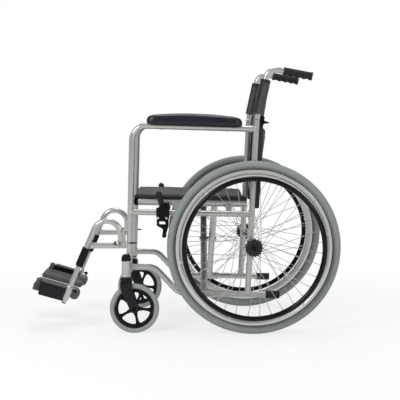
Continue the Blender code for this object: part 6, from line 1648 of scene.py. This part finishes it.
def grip_shape():
    """Push grip: a ribbed sleeve, hollowed for four fingers underneath, with a flange at each end."""
    start = back_place(HANDLE_CORNER) + ALONG_HANDLE * 0.0555
    length = 0.103
    s = np.concatenate([[0.0, 0.0], np.linspace(0.0, length, 120), [length, length]])
    share = np.clip(s / length, 0, 1)
    base = 0.0138 + 0.0010 * (share < 0.045) + 0.0012 * (share > 0.955)
    base = base - 0.0012 * (share < 0.006) - 0.0012 * (share > 0.994)
    base[-2:] = (0.0100, 0.0)
    a = circle(48)
    below = np.clip(-np.sin(a), 0, 1) ** 0.8
    inside = (share > 0.06) & (share < 0.95)
    fingers = 0.0016 * np.cos((share - 0.06) / 0.89 * 2 * math.pi * 4)
    ribs = 0.00035 * np.sign(np.sin(s * 2 * math.pi / 0.0030)) * inside
    radius = base[:, None] + (fingers * inside)[:, None] * below + ribs[:, None] * np.clip(np.sin(a), 0, 1)
    radius[0], radius[-1] = 0.0112, 0.0
    u = np.array([0.0, 1.0, 0.0])
    v = np.array([math.sin(HANDLE_DROP), 0.0, math.cos(HANDLE_DROP)])
    ring = np.cos(a)[None, :, None] * u + np.sin(a)[None, :, None] * v
    points = start + ALONG_HANDLE * s[:, None, None] + ring * radius[:, :, None]
    return grid(np.concatenate([np.broadcast_to(start, (1, 48, 3)), points]), wrap_cols=True)


class WHEELCHAIR_OT_upholstery(bpy.types.Operator):
    """Sling seat, both back panels, arm pads and grips, with piping and stitches"""

    bl_idname = "wheelchair.upholstery"
    bl_label = "Upholstery"

    def execute(self, context):
        sizes = context.scene.wheelchair_sizes
        pitch, piping = sizes.stitch_pitch, sizes.piping_radius
        seat = make_piece("seat_cover", seat_shape(), "cloth_flat", "seat", ["seat_sling"],
                          angle=CLOTH_ANGLE)
        inflate(seat, seat_pins)
        pipes, rows = seat_trim(pitch, piping)
        seat_pieces = [seat, make_piece("seat_piping", pipes, "binding", "seat"),
                       make_piece("seat_stitches", rows, "thread", "seat")]
        upper = make_piece("back_cover_upper", upper_back_shape(), "cloth_tall", "back_left",
                           ["back_upper"], angle=CLOTH_ANGLE)
        lower = make_piece("back_cover_lower", lower_back_shape(), "cloth_tall", "left_side",
                           ["back_lower"], angle=CLOTH_ANGLE)
        inflate(upper, upper_pins, cap=0.0020)
        inflate(lower, lower_pins, cap=0.0020)
        up_pipes, up_rows, low_pipes, low_rows = back_trim(pitch, piping)
        make_pair("back_sleeve", sleeve_shape(), "cloth_tall", "back", angle=CLOTH_ANGLE)
        make_pair("back_band", band_shape(), "binding", "side")
        # Each sleeve's trim holds a black band of painted shade down its front.
        make_pair("sleeve_trim_and_shade", sleeve_trim_and_shade_shape(piping), "binding", "back")
        upper_pieces = [upper, make_piece("back_upper_piping", up_pipes, "binding", "back_left"),
                        make_piece("back_upper_stitches", up_rows, "thread", "back_left")]
        lower_pieces = [lower, make_piece("back_lower_piping", low_pipes, "binding", "left_side"),
                        make_piece("back_lower_stitches", low_rows, "thread", "left_side")]
        for piece in seat_pieces + lower_pieces:
            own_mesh(piece)
        for piece in upper_pieces:
            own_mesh(piece)
        for pad in make_pair("arm_rest", arm_pad_shape(), "pad", "side", ["arm_pad"], angle=CLOTH_ANGLE):
            inflate(pad, pad_pins, voxel=0.004, cap=0.0016)
        make_pair("grip", grip_shape(), "rubber", "back", ["push_grip"], angle=RUBBER_ANGLE)
        return {"FINISHED"}


# Stage

# Lamps: name, place, size and power

LAMPS = (("key_lamp", (-2.2, -2.6, 2.6), 1.3, 78.0),
         ("fill_lamp", (2.4, -2.2, 1.6), 1.0, 20.0),
         ("top_lamp", (0.1, 0.1, 3.2), 1.2, 26.0),
         ("back_lamp", (0.4, 2.8, 3.0), 2.6, 26.0))
LAMP_TARGET = np.array([0.0, 0.0, 0.4])
CAMERA_LENS = 95.1            # millimetres, on a sensor 36 mm wide
CAMERA_PLACE = (-0.0163, -3.957, 0.753)
CAMERA_DOWN, CAMERA_TURN = 0.0759, -0.0185


class WHEELCHAIR_OT_stage(bpy.types.Operator):
    """Pale floor, white surroundings, soft lamps and the camera"""

    bl_idname = "wheelchair.stage"
    bl_label = "Stage"

    def execute(self, context):
        scene = context.scene
        mesh = bpy.data.meshes.new("floor")
        mesh.from_pydata([(-12, -9, 0), (12, -9, 0), (12, 16, 0), (-12, 16, 0)], [], [(0, 1, 2, 3)])
        floor = bpy.data.objects.new("floor", mesh)
        scene.collection.objects.link(floor)
        mesh.materials.append(self.floor_material(scene.wheelchair_finishes.floor))
        self.world(scene)
        for name, place, size, watts in LAMPS:
            lamp = bpy.data.lights.new(name, "AREA")
            lamp.size = size
            lamp.energy = watts
            item = bpy.data.objects.new(name, lamp)
            item.location = place
            direction = LAMP_TARGET - np.array(place)
            item.rotation_euler = Vector(direction).to_track_quat("-Z", "Y").to_euler()
            scene.collection.objects.link(item)
        lens = bpy.data.cameras.new("camera")
        lens.lens = CAMERA_LENS
        lens.sensor_width = 36.0
        camera = bpy.data.objects.new("camera", lens)
        camera.location = CAMERA_PLACE
        camera.rotation_euler = (math.pi / 2 - CAMERA_DOWN, 0.0, CAMERA_TURN)
        scene.collection.objects.link(camera)
        scene.camera = camera
        scene.view_settings.view_transform = "Standard"
        return {"FINISHED"}

    def floor_material(self, tint):
        """Plain pale floor near the chair, which turns white further away."""
        material = bpy.data.materials.new("pale_floor")
        material.use_nodes = True
        tree = material.node_tree
        shader = tree.nodes["Principled BSDF"]
        shader.inputs["Base Color"].default_value = (*tint, 1.0)
        shader.inputs["Roughness"].default_value = 0.75
        out = tree.nodes["Material Output"]
        co = node(tree, "ShaderNodeTexCoord")
        centre = node(tree, "ShaderNodeMapping", {"Vector": co.outputs["Object"]})
        centre.inputs["Location"].default_value = (0.0, 0.15, 0.0)
        far = node(tree, "ShaderNodeVectorMath", {0: centre.outputs[0]}, operation="LENGTH")
        fade = ramp(tree, far.outputs["Value"], 0.72, 1.0, 0.5, 1.8)
        white = node(tree, "ShaderNodeEmission", Color=(1.0, 1.0, 1.0, 1.0), Strength=1.0)
        path = node(tree, "ShaderNodeLightPath")
        seen = math_node(tree, "MAXIMUM", path.outputs["Is Camera Ray"], path.outputs["Is Glossy Ray"])
        share = math_node(tree, "MULTIPLY", fade, seen)
        mix = tree.nodes.new("ShaderNodeMixShader")
        tree.links.new(share, mix.inputs[0])
        tree.links.new(shader.outputs[0], mix.inputs[1])
        tree.links.new(white.outputs[0], mix.inputs[2])
        tree.links.new(mix.outputs[0], out.inputs["Surface"])
        return material

    def world(self, scene):
        """White seen directly and in reflections, and a soft even light on the object."""
        world = bpy.data.worlds.new("studio")
        scene.world = world
        world.use_nodes = True
        tree = world.node_tree
        back = tree.nodes["Background"]
        back.inputs["Color"].default_value = (1.0, 1.0, 1.0, 1.0)
        path = node(tree, "ShaderNodeLightPath")
        seen = math_node(tree, "MAXIMUM", path.outputs["Is Camera Ray"],
                         path.outputs["Is Transmission Ray"])
        strength = ramp(tree, seen, 0.40, 1.0, 0.0, 1.0)
        tree.links.new(strength, back.inputs["Strength"])


class WHEELCHAIR_PT_sidebar(bpy.types.Panel):
    """Lists the pieces, the sizes and the finishes"""

    bl_idname = "WHEELCHAIR_PT_sidebar"
    bl_label = "Wheelchair"
    bl_space_type = "VIEW_3D"
    bl_region_type = "UI"
    bl_category = "Wheelchair"

    def draw(self, context):
        layout = self.layout
        for group in (context.scene.wheelchair_sizes, context.scene.wheelchair_finishes):
            for key in type(group).__annotations__:
                layout.prop(group, key)
        for step in STEPS:
            layout.operator(step.bl_idname)


STEPS = (WHEELCHAIR_OT_finishes, WHEELCHAIR_OT_rear_wheels, WHEELCHAIR_OT_casters, WHEELCHAIR_OT_tubes,
         WHEELCHAIR_OT_footrests, WHEELCHAIR_OT_upholstery, WHEELCHAIR_OT_stage)
CLASSES = (WheelchairSizes, WheelchairFinishes, *STEPS, WHEELCHAIR_PT_sidebar)


def register():
    """Adds the classes and the two groups of properties."""
    for item in CLASSES:
        bpy.utils.register_class(item)
    bpy.types.Scene.wheelchair_sizes = PointerProperty(type=WheelchairSizes)
    bpy.types.Scene.wheelchair_finishes = PointerProperty(type=WheelchairFinishes)


def unregister():
    """Takes the properties and the classes away again."""
    del bpy.types.Scene.wheelchair_sizes
    del bpy.types.Scene.wheelchair_finishes
    for item in reversed(CLASSES):
        bpy.utils.unregister_class(item)


def main():
    register()
    for step in STEPS:
        group, name = step.bl_idname.split(".")
        getattr(getattr(bpy.ops, group), name)()


if __name__ == "__main__":
    main()
